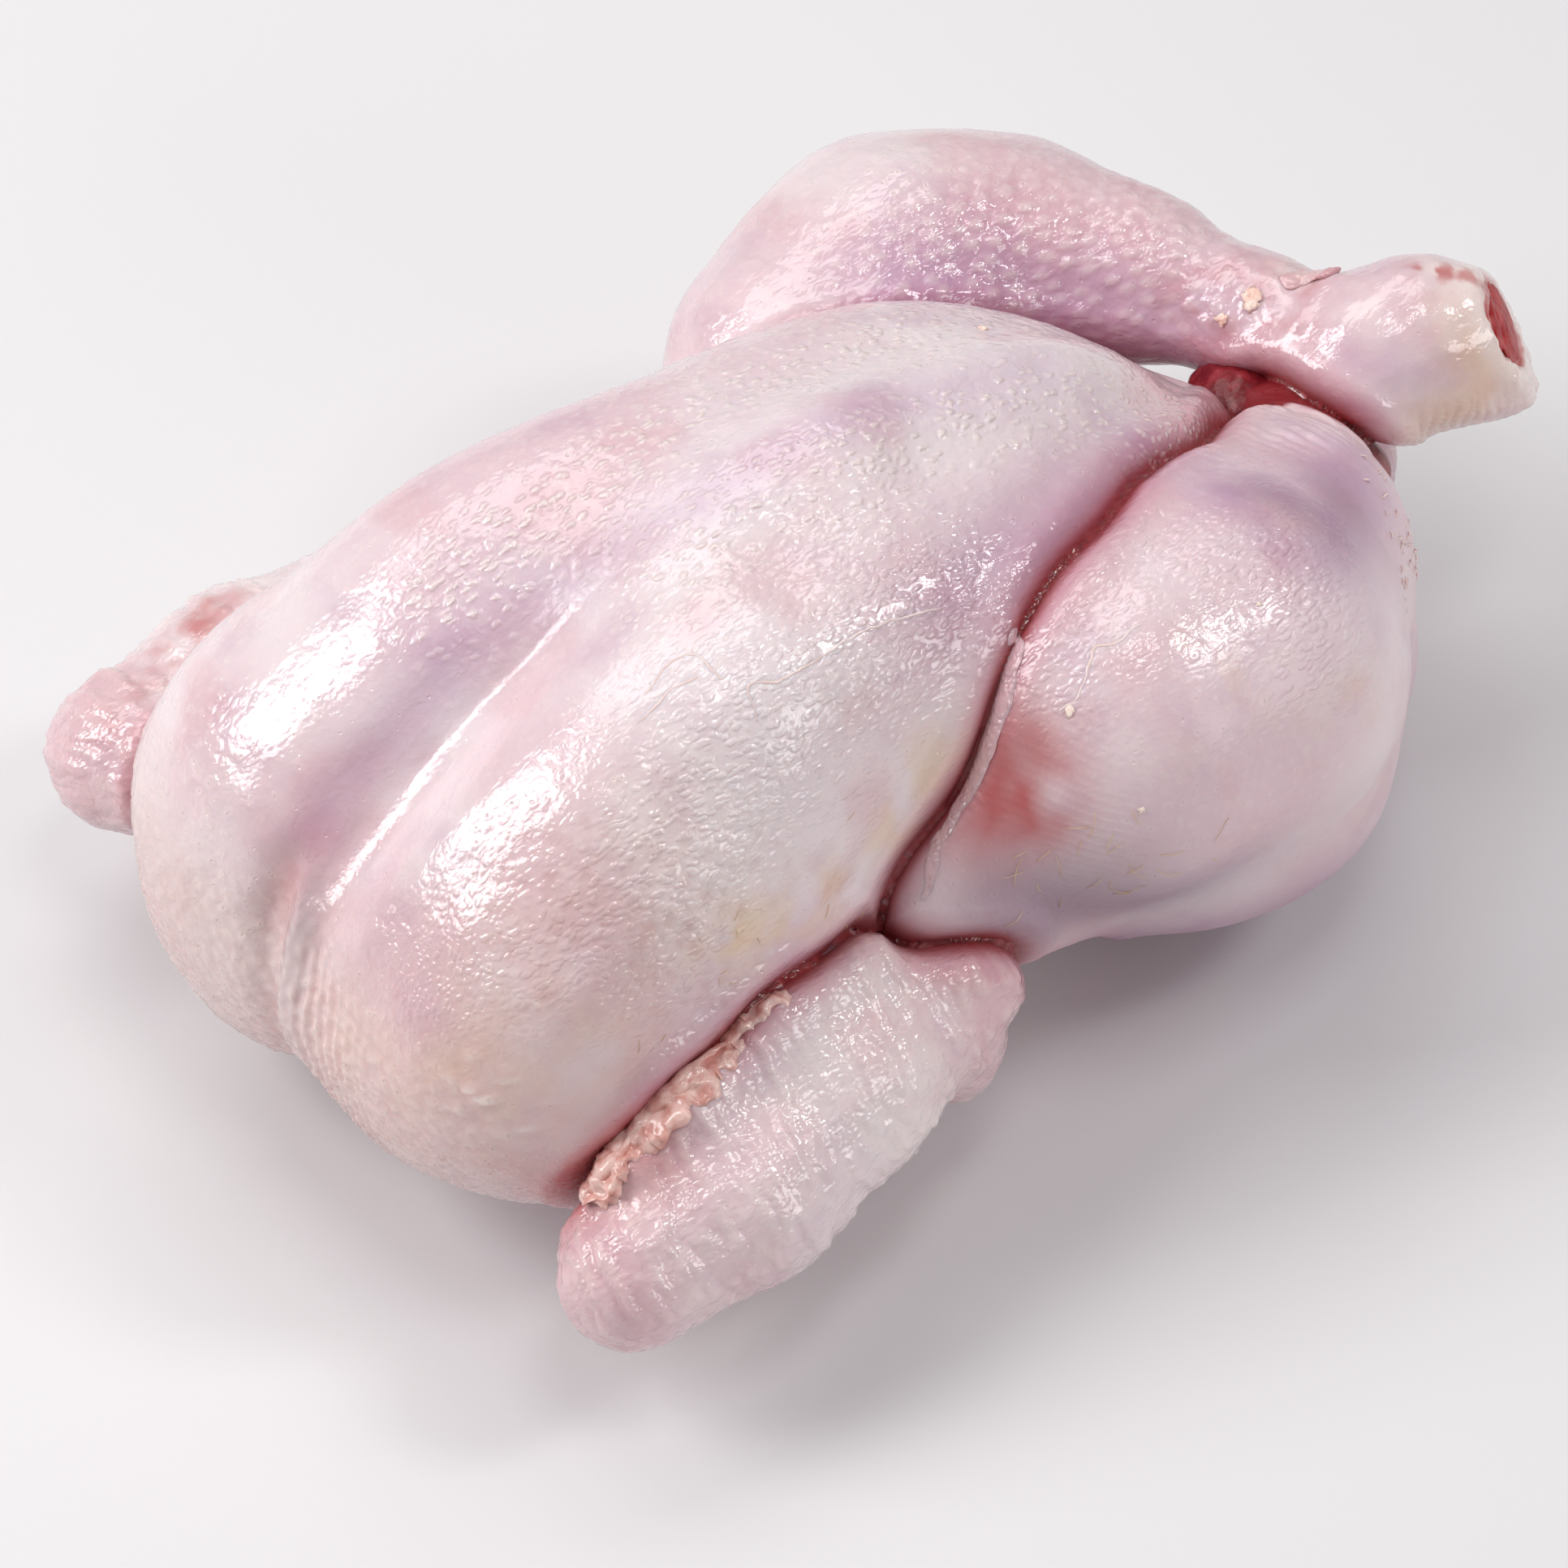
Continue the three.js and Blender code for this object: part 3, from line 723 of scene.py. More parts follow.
def wingRelief(p, seed):
    # wrinkles cross the wing: long bumps on a leaning lattice, stretched across it
    look = wingSkin
    u, v = p[..., 0], p[..., 2] + np.abs(p[..., 1]) * 0.6
    warp = cloud(p, 11, seed + 3) * 2 + cloud(p, 4, seed + 5, 2) * 1.2
    ridges, chance = pimples(u + warp + 0.35 * v, v + warp, seed=seed + 11, **look["ridges"])
    fine, _ = pimples(u - warp, v + warp, seed=seed + 17, **look["fine"])
    ends = smooth(*look["wrist"], u) + smooth(*look["elbow"], u)
    height = summed(look["heights"], dict(
        ridges=(ridges - 0.4) * (0.3 + 1.1 * chance) * smooth(*look["ridgesAbove"], p[..., 2]),
        fine=fine,
        lumps=cloud(p, 8, seed + 23),
        ripples=cloud(p, 3, seed + 29, 2),
    ))
    tints = dict(
        pink=0.6 * ends + 0.15 * patches(p, 9, seed + 31, 0, 0.5),
        cream=0.32 * (1 - ends) + 0.35 * smooth(0.3, 0.9, ridges) * patches(p, 10, seed + 37, -0.3, 0.5),
        red=0.8 * near(p, *look["blood"]) * patches(p, 6, seed + 41, -0.6, 0.2),
        goose=0.6,
        net=0.3,
        violet=0.35 * patches(p, 8, seed + 47, -0.1, 0.6),
    )
    return height, tints


trunk["relief"] = trunkRelief
leftLeg["relief"] = leftLegRelief
rightLeg["relief"] = rightLegRelief
leftWing["relief"] = lambda p: wingRelief(p, 300)
rightWing["relief"] = lambda p: wingRelief(p, 400)

tintNames = ("cream", "rust", "yellow", "violet", "red", "pink", "grey", "muscle", "shadow", "goose", "net",
             "comb", "pale", "mottle", "rosy", "dull", "plum")
# Marks on every region. Painted shade: the pink, violet and plum beside the right leg's crease, the violet
# and red beside the right wing's crease, the red in the hollow between the wing's wrist and the breast, the
# dark muscle red along that crease, and the violet and plum along the keel valley and on its far slope. The
# grey on the neck flap is the skin's own colour.
sharedMarks = [
    ("pink", 0.5, [(5, -32, 93), (14, -29, 93), (28, -24, 92), (42, -20, 87)], 8),
    ("violet", 0.5, lines["valley"][1:], 5),
    ("violet", 0.25, [(-40, 12, 92), (-55, 13, 87)], 7),
    ("violet", 0.45, [(-66, -50, 50), (-50, -50, 58), (-34, -48, 58)], 9),
    ("violet", 0.6, [(8, -31, 93), (20, -27, 92), (36, -22, 88), (52, -18, 82)], 9),
    ("red", 0.45, [(-80, 7, 66), (-84, 5, 60)], 5),
    ("red", 0.9, [(-72, -50, 36), (-66, -52, 40)], 9),
    ("red", 0.5, [(-66, -50, 42), (-50, -48, 49), (-36, -47, 52)], 5),
    ("grey", 0.9, lines["neckFlap"], 3.5),
    ("dull", 1, lines["valley"][1:9], 4.5),
    ("plum", 0.22, [(6, -30, 94), (24, -25, 94), (42, -20, 89)], 10),
    ("plum", 0.16, lines["valley"][2:8], 4),
    ("muscle", 0.8, [(-64, -50, 43), (-50, -49, 48), (-38, -48, 50)], 2.2),
]


def sharedTints(p, gap):
    # creases between regions get painted shade: shadow paints them dark red, and pink, violet and red darken
    # the skin beside them; pale, mottle and rosy are noise of three sizes
    tints = dict(
        pale=patches(p, 34, 901, -0.35, 0.35),
        mottle=0.5 + 0.45 * cloud(p, 9, 903),
        rosy=patches(p, 15, 905, 0.05, 0.45),
        shadow=smooth(3.2, 0.3, gap),
        pink=0.7 * smooth(9, 1, gap),
        violet=0.35 * smooth(7, 1, gap),
        red=0.25 * smooth(7, 1, gap),
    )
    return added(tints, markedTints(p, sharedMarks))


fades = dict(crease=(0.5, 5), rest=(0.2, 3))  # relief grows over these distances from each


def skinRelief(p, region):
    # the region's relief, which dies out in creases and underneath, and its tints, each on every
    # point and from 0 to 1; gap is how much further off the nearest other region is
    distances = [regionDistance(p, each) for each in regions]
    others = np.min(np.stack([d for d, each in zip(distances, regions) if each is not region]), axis=0)
    gap = others - distances[regions.index(region)]
    height, tints = region["relief"](p)
    tints = added(tints, sharedTints(p, gap))
    tints = {tint: np.clip(tints.get(tint, 0) + 0 * gap, 0, 1) for tint in tintNames}
    return height * smooth(*fades["crease"], gap) * smooth(*fades["rest"], p[..., 2]), tints


def buildSkin(name, region):
    points = spun(region)
    height, tints = skinRelief(points, region)
    points = points + height[..., None] * gridNormals(points)
    makePiece(name, [points], skinMaterial, [tints])


# Materials.

class Wire:
    # wraps a socket, so that sums on it add Math nodes to its tree
    def __init__(self, tree, socket=None):
        self.tree = tree
        self.socket = socket

    def add(self, kind, settings=(), inputs=(), output=0):
        # any node: its settings are set first, then its sockets get their values or links
        node = self.tree.nodes.new(kind)
        for name, value in dict(settings).items():
            setattr(node, name, value)
        for name, value in dict(inputs).items():
            if isinstance(value, Wire):
                self.tree.links.new(value.socket, node.inputs[name])
            else:
                node.inputs[name].default_value = value
        return Wire(self.tree, node.outputs[output])

    def math(self, operation, *values):
        return self.add("ShaderNodeMath", dict(operation=operation), enumerate(values))

    def __add__(self, other):
        return self.math("ADD", self, other)

    def __sub__(self, other):
        return self.math("SUBTRACT", self, other)

    def __rsub__(self, other):
        return self.math("SUBTRACT", other, self)

    def __mul__(self, other):
        return self.math("MULTIPLY", self, other)

    __radd__ = __add__
    __rmul__ = __mul__

    def between(self, low, high):
        # 0 at low, 1 at high, smooth between
        settings = dict(interpolation_type="SMOOTHSTEP", clamp=True)
        return self.add("ShaderNodeMapRange", settings, {0: self, 1: low, 2: high})


def colour(hexText):
    # a screen colour such as e0c8ca as linear red, green, blue, alpha
    parts = [int(hexText[i:i + 2], 16) / 255 for i in (0, 2, 4)]
    return (*(c / 12.92 if c < 0.04045 else ((c + 0.055) / 1.055) ** 2.4 for c in parts), 1)


def mixed(factor, a, b):
    settings = dict(data_type="RGBA", blend_type="MIX", clamp_factor=True)
    return factor.add("ShaderNodeMix", settings, {0: factor, 6: a, 7: b}, output=2)


def newMaterial(name):
    # an empty material, with a wire to start nodes from, and one with the object's coordinates
    material = bpy.data.materials.new(name)
    material.use_nodes = True
    material.node_tree.nodes.clear()
    sheet = Wire(material.node_tree)
    return material, sheet, sheet.add("ShaderNodeTexCoord", output=3)


def finishMaterial(sheet, sockets):
    shader = sheet.add("ShaderNodeBsdfPrincipled", dict(subsurface_method="BURLEY"), sockets)
    end = sheet.tree.nodes.new("ShaderNodeOutputMaterial")
    sheet.tree.links.new(shader.socket, end.inputs["Surface"])


# Colours, then how far light goes below the skin, then roughness, then patterns, whose sizes,
# heights and drift are in millimetres.
skinLook = dict(
    # shade and plum are painted shade; rose, violet, keelViolet, red, grey and muscle also paint shade where
    # their tints lie in creases, in the keel valley and on the legs' lower sides
    pink="e1c4cb", pale="ecdde0", violet="bb90ac", keelViolet="b68cb2", yellow="e6c6a0", cream="f4e4de",
    rust="b97c74", red="ba4644", rose="d59aa0", grey="b0a4ac", muscle="861c22", shade="96201e", plum="8c6076",
    scatter=0.7, scatterScale=0.0013, scatterRadius=(1.0, 0.45, 0.35),
    roughness=0.1, grainRoughness=0.2, dullRoughness=0.28,
    papilla=2.2, papillaHeight=0.07, poreDepth=0.12, net=1.0, netHeight=0.17, comb=1.5, combHeight=0.28,
    netTurn=(0.5, 0.6, 0.4), netStretch=0.45, combTurn=(0, 0, 0.35), combStretch=0.55,
    fine=1.4, waves=3.6, waveHeight=0.13, grain=0.6, grainHeight=0.05, driftSize=4, drift=2.2,
)


def makeSkinMaterial():
    # a pale ground, and over it one layer of colour for each tint, patch or pattern; the relief
    # sums papillae with pores, a fine net, rows of grains and waves, all in millimetres
    look = skinLook
    material, sheet, place = newMaterial("skin")

    def tint(name):
        return sheet.add("ShaderNodeAttribute", dict(attribute_name=name), output=2)

    def noise(size, detail, roughness=0.55, warp=0):
        # size is the width of a patch in millimetres
        return sheet.add("ShaderNodeTexNoise", inputs={
            "Vector": place, "Scale": 1 / (size * mm), "Detail": detail, "Roughness": roughness,
            "Distortion": warp})

    def cells(size, at):
        # 0 at the middle of a cell, about 0.6 at its edge
        return sheet.add("ShaderNodeTexVoronoi", inputs={
            "Vector": at, "Scale": 1 / (size * mm), "Randomness": 0.9})

    push = sheet.add("ShaderNodeTexNoise", inputs={
        "Vector": place, "Scale": 1 / (look["driftSize"] * mm), "Detail": 2}, output=1)
    wandering = sheet.add("ShaderNodeVectorMath", dict(operation="MULTIPLY_ADD"), {
        0: push, 1: (look["drift"] * mm,) * 3, 2: place})
    leaning = sheet.add("ShaderNodeMapping", inputs={
        "Vector": wandering, "Rotation": look["netTurn"], "Scale": (look["netStretch"], 1, 1)})
    combed = sheet.add("ShaderNodeMapping", inputs={
        "Vector": wandering, "Rotation": look["combTurn"], "Scale": (look["combStretch"], 1, 1)})
    goose, comb, mottle = tint("goose"), tint("comb"), tint("mottle")
    fine, waves = noise(look["fine"], 3), noise(look["waves"], 2, 0.5, 0.4)
    papilla = cells(look["papilla"], wandering)
    lattice = cells(look["net"], leaning)
    rows = cells(look["comb"], combed)
    # the shadow and plum layers are painted shade; the violet, pink, red, grey and muscle layers paint shade
    # too where their tints are laid in creases, the keel valley and the legs' lower sides
    layers = [
        (mottle.between(0.5, 0.8) * 0.3, "violet"),
        (tint("rosy") * 0.3, "rose"),
        (papilla.between(0.45, 0.1) * (0.1 + goose * 0.25), "cream"),
        (fine.between(0.42, 0.68) * 0.12, "cream"),
        (tint("pink") * 0.7, "rose"),
        (tint("violet") * (0.4 + mottle * 0.5), "keelViolet"),
        (tint("grey") * 0.8, "grey"),
        (tint("yellow") * (0.3 + mottle * 0.8), "yellow"),
        (tint("rust") * 0.5, "rust"),
        (tint("cream") * 0.8, "cream"),
        (tint("red") * (0.35 + mottle), "red"),
        (tint("plum") * 0.8, "plum"),
        (tint("shadow") * 0.9, "shade"),
        (tint("muscle"), "muscle"),
        (rows.between(0.45, 0.2) * comb * 0.65, "cream"),
    ]
    body = mixed(tint("pale"), colour(look["pink"]), colour(look["pale"]))
    for mask, name in layers:
        body = mixed(mask, body, colour(look[name]))
    relief = (
        papilla.between(0.6, 0.15) * (0.25 + goose * 0.75) * look["papillaHeight"]
        - papilla.between(0.15, 0.04) * (0.4 + goose * 0.6) * look["poreDepth"]
        + lattice.between(0.65, 0.2) * (0.12 + tint("net")) * look["netHeight"]
        + rows.between(0.5, 0.1) * comb * look["combHeight"]
        + waves * look["waveHeight"]
        + noise(look["grain"], 2) * look["grainHeight"]
    )
    rough = look["roughness"] + (fine - 0.5) * look["grainRoughness"] + tint("dull") * look["dullRoughness"]
    finishMaterial(sheet, {
        "Base Color": body,
        "Roughness": rough,
        "Normal": sheet.add("ShaderNodeBump", inputs={"Strength": 1.0, "Distance": mm, "Height": relief}),
        "IOR": 1.5,
        "Specular IOR Level": 0.75,
        "Subsurface Weight": look["scatter"],
        "Subsurface Scale": look["scatterScale"],
        "Subsurface Radius": look["scatterRadius"],
    })
    return material


wetLooks = dict(
    pearl=dict(tone="f3dcd0", spots="e9bdae", scatter=0.4, film=0.3),
    muscle=dict(tone="70101a", spots="982a32", roughness=0.34, scatter=0.1, film=0.12, patch=2.5),
    marrow=dict(tone="a3161c", spots="c4504e", roughness=0.5, scatter=0.1, film=0.1),
    membrane=dict(tone="ecd6d2", spots="e4c6c0", scatter=0, patch=6),
    hair=dict(tone="e6cfa0", spots="d8b078", roughness=0.4, scatter=0, film=0.1),
    fatFold=dict(tone="efc8be", spots="d58e82", scatter=0.25, film=0.8, patch=2.5),
)


def makeWetMaterial(name, tone, spots, roughness=0.22, scatter=0.9, film=0.6, patch=3):
    # a wet scrap of one tone, with patches and grain of another
    material, sheet, place = newMaterial(name)
    spotty = sheet.add("ShaderNodeTexNoise", inputs={"Vector": place, "Scale": 1 / (patch * mm), "Detail": 4})
    grain = sheet.add("ShaderNodeTexNoise", inputs={"Vector": place, "Scale": 900, "Detail": 3})
    finishMaterial(sheet, {
        "Base Color": mixed(spotty.between(0.4, 0.65) * 0.8, colour(tone), colour(spots)),
        "Roughness": roughness + (spotty - 0.5) * 0.2,
        "Normal": sheet.add("ShaderNodeBump", inputs={"Strength": 1.0, "Distance": 0.0002, "Height": grain}),
        "IOR": 1.42,
        "Subsurface Weight": scatter,
        "Subsurface Scale": 0.0016,
        "Subsurface Radius": (1.0, 0.5, 0.35),
        "Coat Weight": film,
        "Coat Roughness": 0.07,
    })
    return material


skinMaterial = makeSkinMaterial()
wet = {name: makeWetMaterial(name, **look) for name, look in wetLooks.items()}
print("materials made")

buildSkin("trunkSkin", trunk)
buildSkin("leftLegSkin", leftLeg)
buildSkin("rightLegSkin", rightLeg)
buildSkin("leftWingSkin", leftWing)
buildSkin("rightWingSkin", rightWing)


# Raw ends at the hocks.

shankMuscle = dict(
    fillet=5,
    forms=[
        dict(stations=[(85, -7, 49, 6), (90, 2, 51, 6.8), (94, 9, 49, 5.5)]),
        dict(at=(91, 4, 54), radii=(6, 6, 4), turn=(0, 0, 40)),
    ],
    path=[(86, -6, 49), (90, 1, 51), (93, 7, 50)],
    grid=(110, 90),
    fibres=11, fibreHeight=0.18, lumpHeight=0.8,
)
marrow = dict(at=(127.0, -16.4, 64.4), radii=(5.8, 7.4, 1.2), tilt=(-0.357, 0.238, 0.903),
              lumps=0.35, grid=(70, 90))


def buildShankMuscle():
    # rays from a path out to a bundle of round forms; fibres run along it as cos of the angle
    look = shankMuscle
    s = np.linspace(0.02, 0.98, look["grid"][0])
    theta = np.linspace(0, 2 * np.pi, look["grid"][1], endpoint=False)
    origin, direction = rays(look["path"], s, theta)
    points = origin + castOut(lambda p: regionDistance(p, look), origin, direction)[..., None] * direction
    points = facingOut(points)
    fibres = np.cos(look["fibres"] * theta[None] + 4 * cloud(points, 8, 601, 2))
    height = look["fibreHeight"] * fibres + look["lumpHeight"] * cloud(points, 6, 603, 3)
    makePiece("shankMuscle", [points + height[..., None] * gridNormals(points)], wet["muscle"])


def buildMarrow():
    # a lumpy lens in the cut face: radii along the face's two axes and out of it
    look = marrow
    outward = np.array(leftLeg["cut"]["outward"]) / np.linalg.norm(leftLeg["cut"]["outward"])
    rise = np.array(look["tilt"])
    across = np.cross(outward, rise)
    a = np.linspace(0.03, np.pi - 0.03, look["grid"][0])[:, None]
    b = np.linspace(0, 2 * np.pi, look["grid"][1], endpoint=False)[None]
    ball = np.stack([np.cos(a) + 0 * b, np.sin(a) * np.cos(b), np.sin(a) * np.sin(b)], -1)
    lump = ball * (1 + look["lumps"] * cloud(ball, 0.7, 611, 3))[..., None] * look["radii"]
    points = facingOut(np.array(look["at"]) + lump @ np.stack([rise, across, outward]))
    makePiece("marrow", [points], wet["marrow"])


# Scraps on the skin: folds, membranes, crumbs, hairs and stubs.

def slope(p, probe=0.4):
    # central differences of the bird's distance, at unit length
    shifts = np.eye(3, dtype=np.float32) * probe
    steps = [birdDistance(p + shift) - birdDistance(p - shift) for shift in shifts]
    rise = np.stack(steps, -1)
    return rise / (np.linalg.norm(rise, axis=-1, keepdims=True) + 1e-6)


def onSkin(points, region, lift=0):
    # points moved straight on to the finished skin, then lifted; also the way out there
    points = np.array(points, np.float32)
    for _ in range(6):
        points = points - 0.8 * birdDistance(points)[..., None] * slope(points)
    outward = slope(points)
    height, _ = skinRelief(points, region)
    return points + (height + lift)[..., None] * outward, outward


def strip(line, outward, width, height, rough=0.3, grain=1.5, ruffle=0, fade=0, seed=0, sides=12):
    # a band lying along a line: ring = middle + width cos a to the side + height sin a outwards;
    # both ends taper as the root of 1 - (2t - 1)^8, rough makes it ragged, ruffle swells it in waves,
    # fade thins it towards its end
    ahead = np.gradient(line, axis=0)
    run = np.cumsum(np.linalg.norm(ahead, axis=-1))
    sideways = np.cross(ahead, outward)
    sideways /= np.linalg.norm(sideways, axis=-1, keepdims=True) + 1e-9
    t = np.linspace(0, 1, len(line))
    taper = np.clip(1 - (2 * t - 1) ** 8, 0.0004, 1) ** 0.5 * (1 - fade * t)
    a = np.linspace(0, 2 * np.pi, sides, endpoint=False)[None, :, None]
    offset = width * np.cos(a) * sideways[:, None] + height * np.sin(a) * outward[:, None]
    middle = line[:, None]
    wave = np.cos(2 * np.pi * run / 2.9 + 5 * cloud(line, 6, seed + 9, 2))[:, None]
    swollen = 1 + rough * cloud(middle + offset, grain, seed) + ruffle * wave
    return facingOut(middle + offset * (taper[:, None] * swollen)[..., None])


def laid(path, region, count, width, height, lift=0, wander=0, seed=0, **look):
    # a strip laid on the skin along a path, wandering sideways by smooth noise
    line = pathFrame(path, np.linspace(0, 1, count))[0]
    drift = np.stack([cloud(line + 40 * axis, 5, seed + axis, 3) for axis in range(3)], -1)
    line, outward = onSkin(line + wander * drift, region, lift)
    return strip(line, outward, width, height, seed=seed, **look)


def skinTints(points, region, **changed):
    # the tints of the skin below, without its crease shadow, some of them changed
    _, tints = skinRelief(points, region)
    for tint, share in dict(shadow=0, **changed).items():
        tints[tint] = np.full_like(tints[tint], share)
    return tints


def crumbsOn(places, sizes, region, seed, flat, rough, rows=12):
    # balls flattened on the skin, their radius 1 + rough times smooth noise
    middles, outwards = onSkin(places, region, sizes * 0.2)
    a = np.linspace(0.05, np.pi - 0.05, rows)[:, None]
    b = np.linspace(0, 2 * np.pi, rows + 4, endpoint=False)[None]
    ball = np.stack([np.sin(a) * np.cos(b), np.sin(a) * np.sin(b), np.cos(a) + 0 * b], -1)
    grids = []
    for i, (middle, outward, size) in enumerate(zip(middles, outwards, sizes)):
        lump = ball * (1 + rough * cloud(ball * 2 + 7 * i, 1.1, seed, 2))[..., None] * size
        grids.append(facingOut(middle + lump - flat * (lump @ outward)[..., None] * outward))
    return grids


def hairsOn(starts, aheads, lengths, bends, radii, region, arch=0.12):
    # thin curved tubes: each goes ahead, bends sideways with t squared, arches off the skin as sin
    t = np.linspace(0, 1, 10)[None, :, None]
    middle, outward = (each[:, None] for each in onSkin(starts, region))
    aheads = aheads[:, None] - (aheads[:, None] * outward).sum(-1, keepdims=True) * outward
    aheads /= np.linalg.norm(aheads, axis=-1, keepdims=True)
    lengths, bends = lengths[:, None, None], bends[:, None, None]
    hairLines = middle + lengths * (t * aheads + bends * t ** 2 * np.cross(outward, aheads))
    hairLines, outs = onSkin(hairLines, region)
    hairLines = hairLines + outs * (0.06 + arch * lengths * np.sin(np.pi * t) ** 2 * t)
    return [strip(line, out, radius, radius, rough=0, sides=5)
            for line, out, radius in zip(hairLines, outs, radii)]


def scattered(zone, count, spread, seed):
    # start points round a path's points, random ways ahead and a random number from 0 to 1 each
    random = np.random.default_rng(seed)
    starts = np.array(zone)[random.integers(0, len(zone), count)] + random.normal(0, spread / 2, (count, 3))
    return starts, random.normal(0, 1, (count, 3)), random.random(count)


flankFold = dict(
    path=[(15, -37, 88), (10, -41, 81), (6, -43, 76), (1, -45, 69), (-5, -46, 62), (-11, -47, 56)],
    width=2.1, height=0.7, lift=-0.3, wander=0.5, rough=0.25, grain=6, fade=0.5,
    count=170, sides=30, seed=501,
)
wingFatFold = [
    dict(path=[(-74, -56, 39), (-68, -54, 43), (-60, -53, 47), (-51, -52, 49), (-43, -51, 51),
               (-36, -50, 52)],
         width=4.5, height=2.8, lift=-1.0, wander=1.6, rough=1.0, grain=3.6, ruffle=0.06, fade=0.5,
         count=300, sides=40, seed=511),
    dict(path=[(-72, -55, 41), (-64, -53, 46), (-55, -52, 49), (-47, -51, 51)],  # its crest
         width=1.6, height=1.2, lift=0.8, wander=1.6, rough=0.9, grain=4, fade=0.5,
         count=200, sides=28, seed=515),
]
hockCollar = dict(
    path=[(102, 7, 70), (105, 7, 71), (107.5, 6, 71), (108.5, 3, 71.5)],
    width=1.9, height=0.7, lift=0.2, wander=0.8, rough=0.7, grain=3, count=80, sides=24, seed=527,
)
membraneEdges = dict(
    look=dict(width=0.2, height=0.05, wander=1.1, rough=0.9, grain=1.2, count=90),
    paths=[
        (trunk, 531, [(-40, -21, 97), (-35, -20, 98), (-31, -21, 99), (-30, -27, 99)]),
        (trunk, 532, [(-29, -34, 95), (-28, -30, 98), (-24, -31, 97), (-18, -31, 97), (-10, -30, 96),
                      (-4, -30, 96), (6, -31, 94)]),
        (trunk, 533, [(-44, -24, 96), (-38, -23, 98), (-33, -24, 99)]),
        (rightLeg, 531, [(29, -48, 90), (24, -48, 89), (21, -47, 88), (16, -50, 85), (13, -49, 82)]),
    ],
)
fatCrumbs = dict(
    look=dict(seed=551, flat=0.6, rough=1.4),
    places=[  # x, y, z and radius of each
        (leftLeg, [(97, 9, 68, 1.3), (96, 8, 69, 1.0), (92, 10, 66, 0.8)]),
        (rightLeg, [(13, -51, 84, 0.6), (46, -54, 88, 0.4), (20, -60, 70, 0.4)]),
        (trunk, [(46, 12, 92, 0.6)]),
    ],
)
hairs = [  # lengths are (least, more), radius is half a hair's thickness
    dict(region=rightLeg, zone=[(2, -54, 56), (10, -58, 60), (16, -62, 58), (24, -62, 60)],
         count=26, spread=11, seed=581, lengths=(2.2, 3.2), bend=1.2, radius=0.05),
    dict(region=trunk, zone=[(-44, -47, 69), (-20, -44, 65), (-60, -46, 60)],
         count=12, spread=10, seed=583, lengths=(1, 1.2), bend=1.2, radius=0.05),
]
rimStubs = dict(
    zone=[(88, -31, 71), (87, -39, 66), (90, -41, 56), (86, -46, 60)], count=30, spread=6, seed=585,
    ahead=(0.8, -0.5, 0.3), stray=0.3, lengths=(0.6, 1.4), bend=0.4, radii=(0.1, 0.14), arch=0.35,
)


def buildFolds():
    # the fold between breast and right leg, the fat along the right wing, a flap of skin at the hock
    fold = laid(region=trunk, **flankFold)
    tints = skinTints(fold, trunk, cream=0.3, net=0.7, pink=0.6, dull=0)
    makePiece("flankFold", [fold], skinMaterial, [tints])
    makePiece("wingFatFold", [laid(region=rightWing, **part) for part in wingFatFold], wet["fatFold"])
    collar = laid(region=leftLeg, **hockCollar)
    tints = skinTints(collar, leftLeg, pink=0.6, net=0.4, red=0.3)
    makePiece("hockCollar", [collar], skinMaterial, [tints])


def buildScraps():
    # thin edges of membrane, then crumbs of fat
    look = membraneEdges["look"]
    grids = [laid(path, region, seed=seed, **look) for region, seed, path in membraneEdges["paths"]]
    makePiece("membraneEdges", grids, wet["membrane"])
    grids = []
    for region, places in fatCrumbs["places"]:
        places = np.array(places, np.float32)
        grids += crumbsOn(places[:, :3], places[:, 3], region, **fatCrumbs["look"])
    makePiece("fatCrumbs", grids, wet["pearl"])


def buildHairs():
    # fine hairs on the leg and flank, then stubs of torn skin that stand out from the leg's rim
    grids = []
    for patch in hairs:
        starts, aheads, chances = scattered(patch["zone"], patch["count"], patch["spread"], patch["seed"])
        lengths = patch["lengths"][0] + patch["lengths"][1] * chances
        radii = patch["radius"] + 0 * chances
        grids += hairsOn(starts, aheads, lengths, (chances - 0.5) * patch["bend"], radii, patch["region"])
    makePiece("hairs", grids, wet["hair"])
    look = rimStubs
    starts, aheads, chances = scattered(look["zone"], look["count"], look["spread"], look["seed"])
    lengths = look["lengths"][0] + look["lengths"][1] * chances
    radii = look["radii"][0] + look["radii"][1] * chances
    outAheads = np.array(look["ahead"]) + look["stray"] * aheads
    grids = hairsOn(starts, outAheads, lengths, aheads[:, 0] * look["bend"], radii, rightLeg, look["arch"])
    makePiece("rimStubs", grids, wet["membrane"])


buildShankMuscle()
buildMarrow()
buildFolds()
buildScraps()
buildHairs()


# Table, light and camera.

view = dict(azimuth=-36.3, elevation=50, distance=1000, target=(0, 0, 28), lens=149)  # degrees and mm
lights = [  # soft boxes; direction is right, up and back as the camera sees it, size is wide and high
    dict(name="windowLeft", direction=(-0.75, 0.4, 0.54), distance=1.1, size=(0.42, 0.72), power=7.2),
    dict(name="ceiling", direction=(0.12, 0.5, 0.85), distance=1.4, size=(0.4, 0.26), power=2.1),
    dict(name="windowRight", direction=(0.63, 0.48, 0.61), distance=1.3, size=(0.24, 0.3), power=2.8),
    dict(name="windowLow", direction=(0.8, -0.14, 0.58), distance=1.3, size=(0.45, 0.45), power=2.7),
    dict(name="windowBack", direction=(-0.2, 0.88, 0.42), distance=1.2, size=(0.9, 0.5), power=3.9),
]
room = dict(tone=(0.98, 0.97, 1, 1), strength=0.23, floor="e7e5e6", floorReach=4)


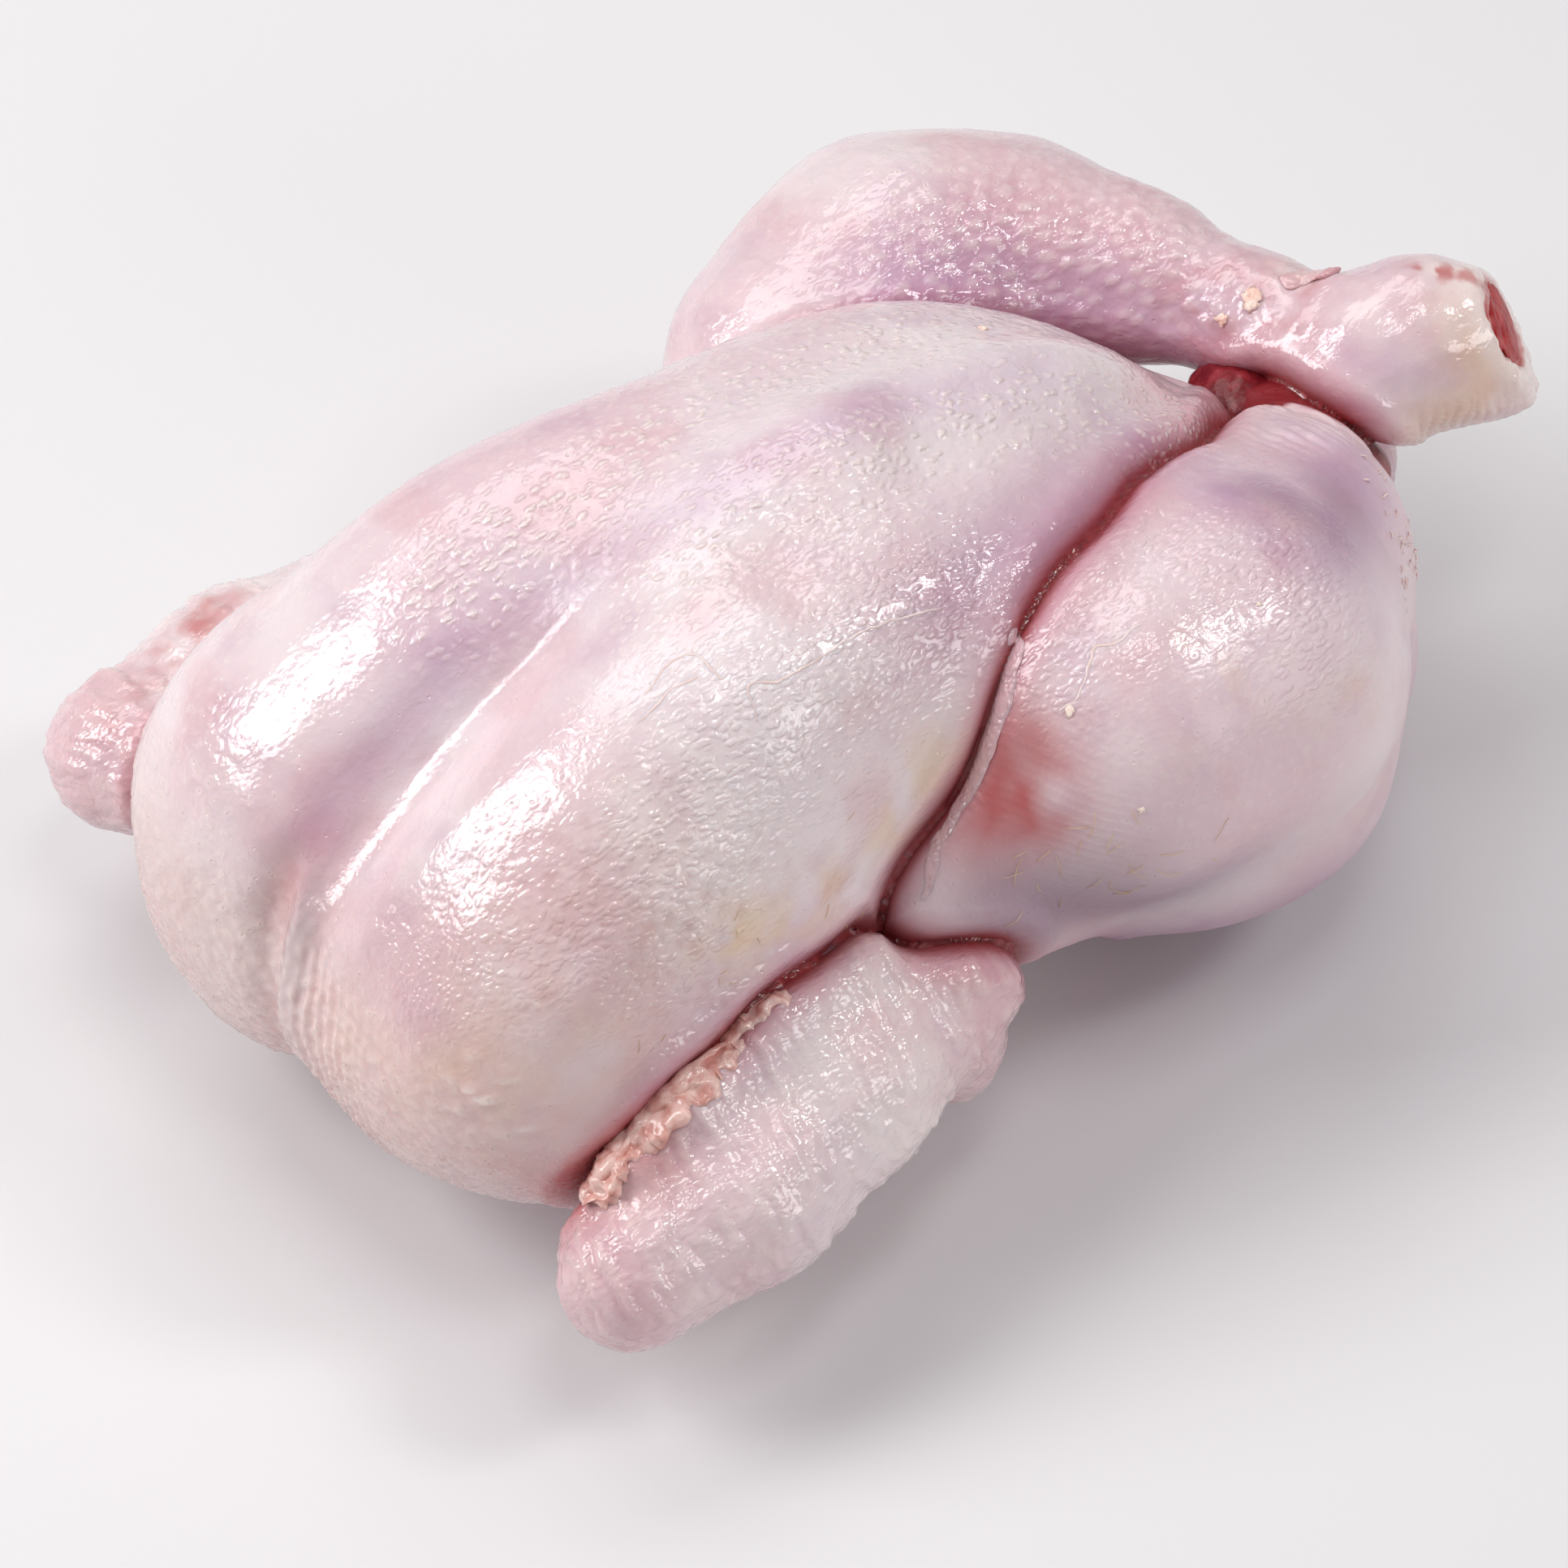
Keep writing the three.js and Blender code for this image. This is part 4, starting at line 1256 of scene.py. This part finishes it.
def viewAxes():
    # right, up and backward of the camera, from its azimuth and elevation
    azimuth, elevation = np.radians(view["azimuth"]), np.radians(view["elevation"])
    level = np.array((np.sin(azimuth), -np.cos(azimuth), 0))
    back = level * np.cos(elevation) + np.array((0, 0, np.sin(elevation)))
    right = np.array((np.cos(azimuth), np.sin(azimuth), 0))
    return right, np.cross(back, right), back


def makeCamera():
    camera = bpy.data.objects.new("camera", bpy.data.cameras.new("camera"))
    camera.data.lens = view["lens"]
    camera.data.sensor_width = 36
    camera.data.clip_start = 0.01
    right, up, back = viewAxes()
    turn = Matrix(np.stack([right, up, back], 1).tolist()).to_4x4()
    place = (np.array(view["target"]) + back * view["distance"]) * mm
    camera.matrix_world = Matrix.Translation(place) @ turn
    bpy.context.scene.collection.objects.link(camera)
    bpy.context.scene.camera = camera


def makeLight(name, direction, distance, size, power):
    outward = sum(share * axis for share, axis in zip(direction, viewAxes()))
    outward /= np.linalg.norm(outward)
    light = bpy.data.objects.new(name, bpy.data.lights.new(name, "AREA"))
    light.data.shape = "RECTANGLE"
    light.data.size, light.data.size_y = size
    light.data.energy = power
    side = np.cross((0, 0, 1), outward)
    side /= np.linalg.norm(side)
    turn = Matrix(np.stack([side, np.cross(outward, side), outward], 1).tolist()).to_4x4()
    light.matrix_world = Matrix.Translation(np.array(view["target"]) * mm + outward * distance) @ turn
    bpy.context.scene.collection.objects.link(light)


def makeFloor():
    mesh = bpy.data.meshes.new("floor")
    reach = room["floorReach"]
    corners = [(-reach, -reach, 0), (reach, -reach, 0), (reach, reach, 0), (-reach, reach, 0)]
    mesh.from_pydata(corners, [], [(0, 1, 2, 3)])
    floor = bpy.data.objects.new("floor", mesh)
    bpy.context.scene.collection.objects.link(floor)
    material, sheet, _ = newMaterial("floor")
    finishMaterial(sheet, {"Base Color": colour(room["floor"]), "Roughness": 0.9, "Specular IOR Level": 0})
    mesh.materials.append(material)


def makeWorld():
    world = bpy.data.worlds.new("room")
    world.use_nodes = True
    world.node_tree.nodes["Background"].inputs["Color"].default_value = room["tone"]
    world.node_tree.nodes["Background"].inputs["Strength"].default_value = room["strength"]
    bpy.context.scene.world = world
    bpy.context.scene.view_settings.view_transform = "Standard"


makeCamera()
for light in lights:
    makeLight(**light)
makeFloor()
makeWorld()
print("camera, lights and table made")
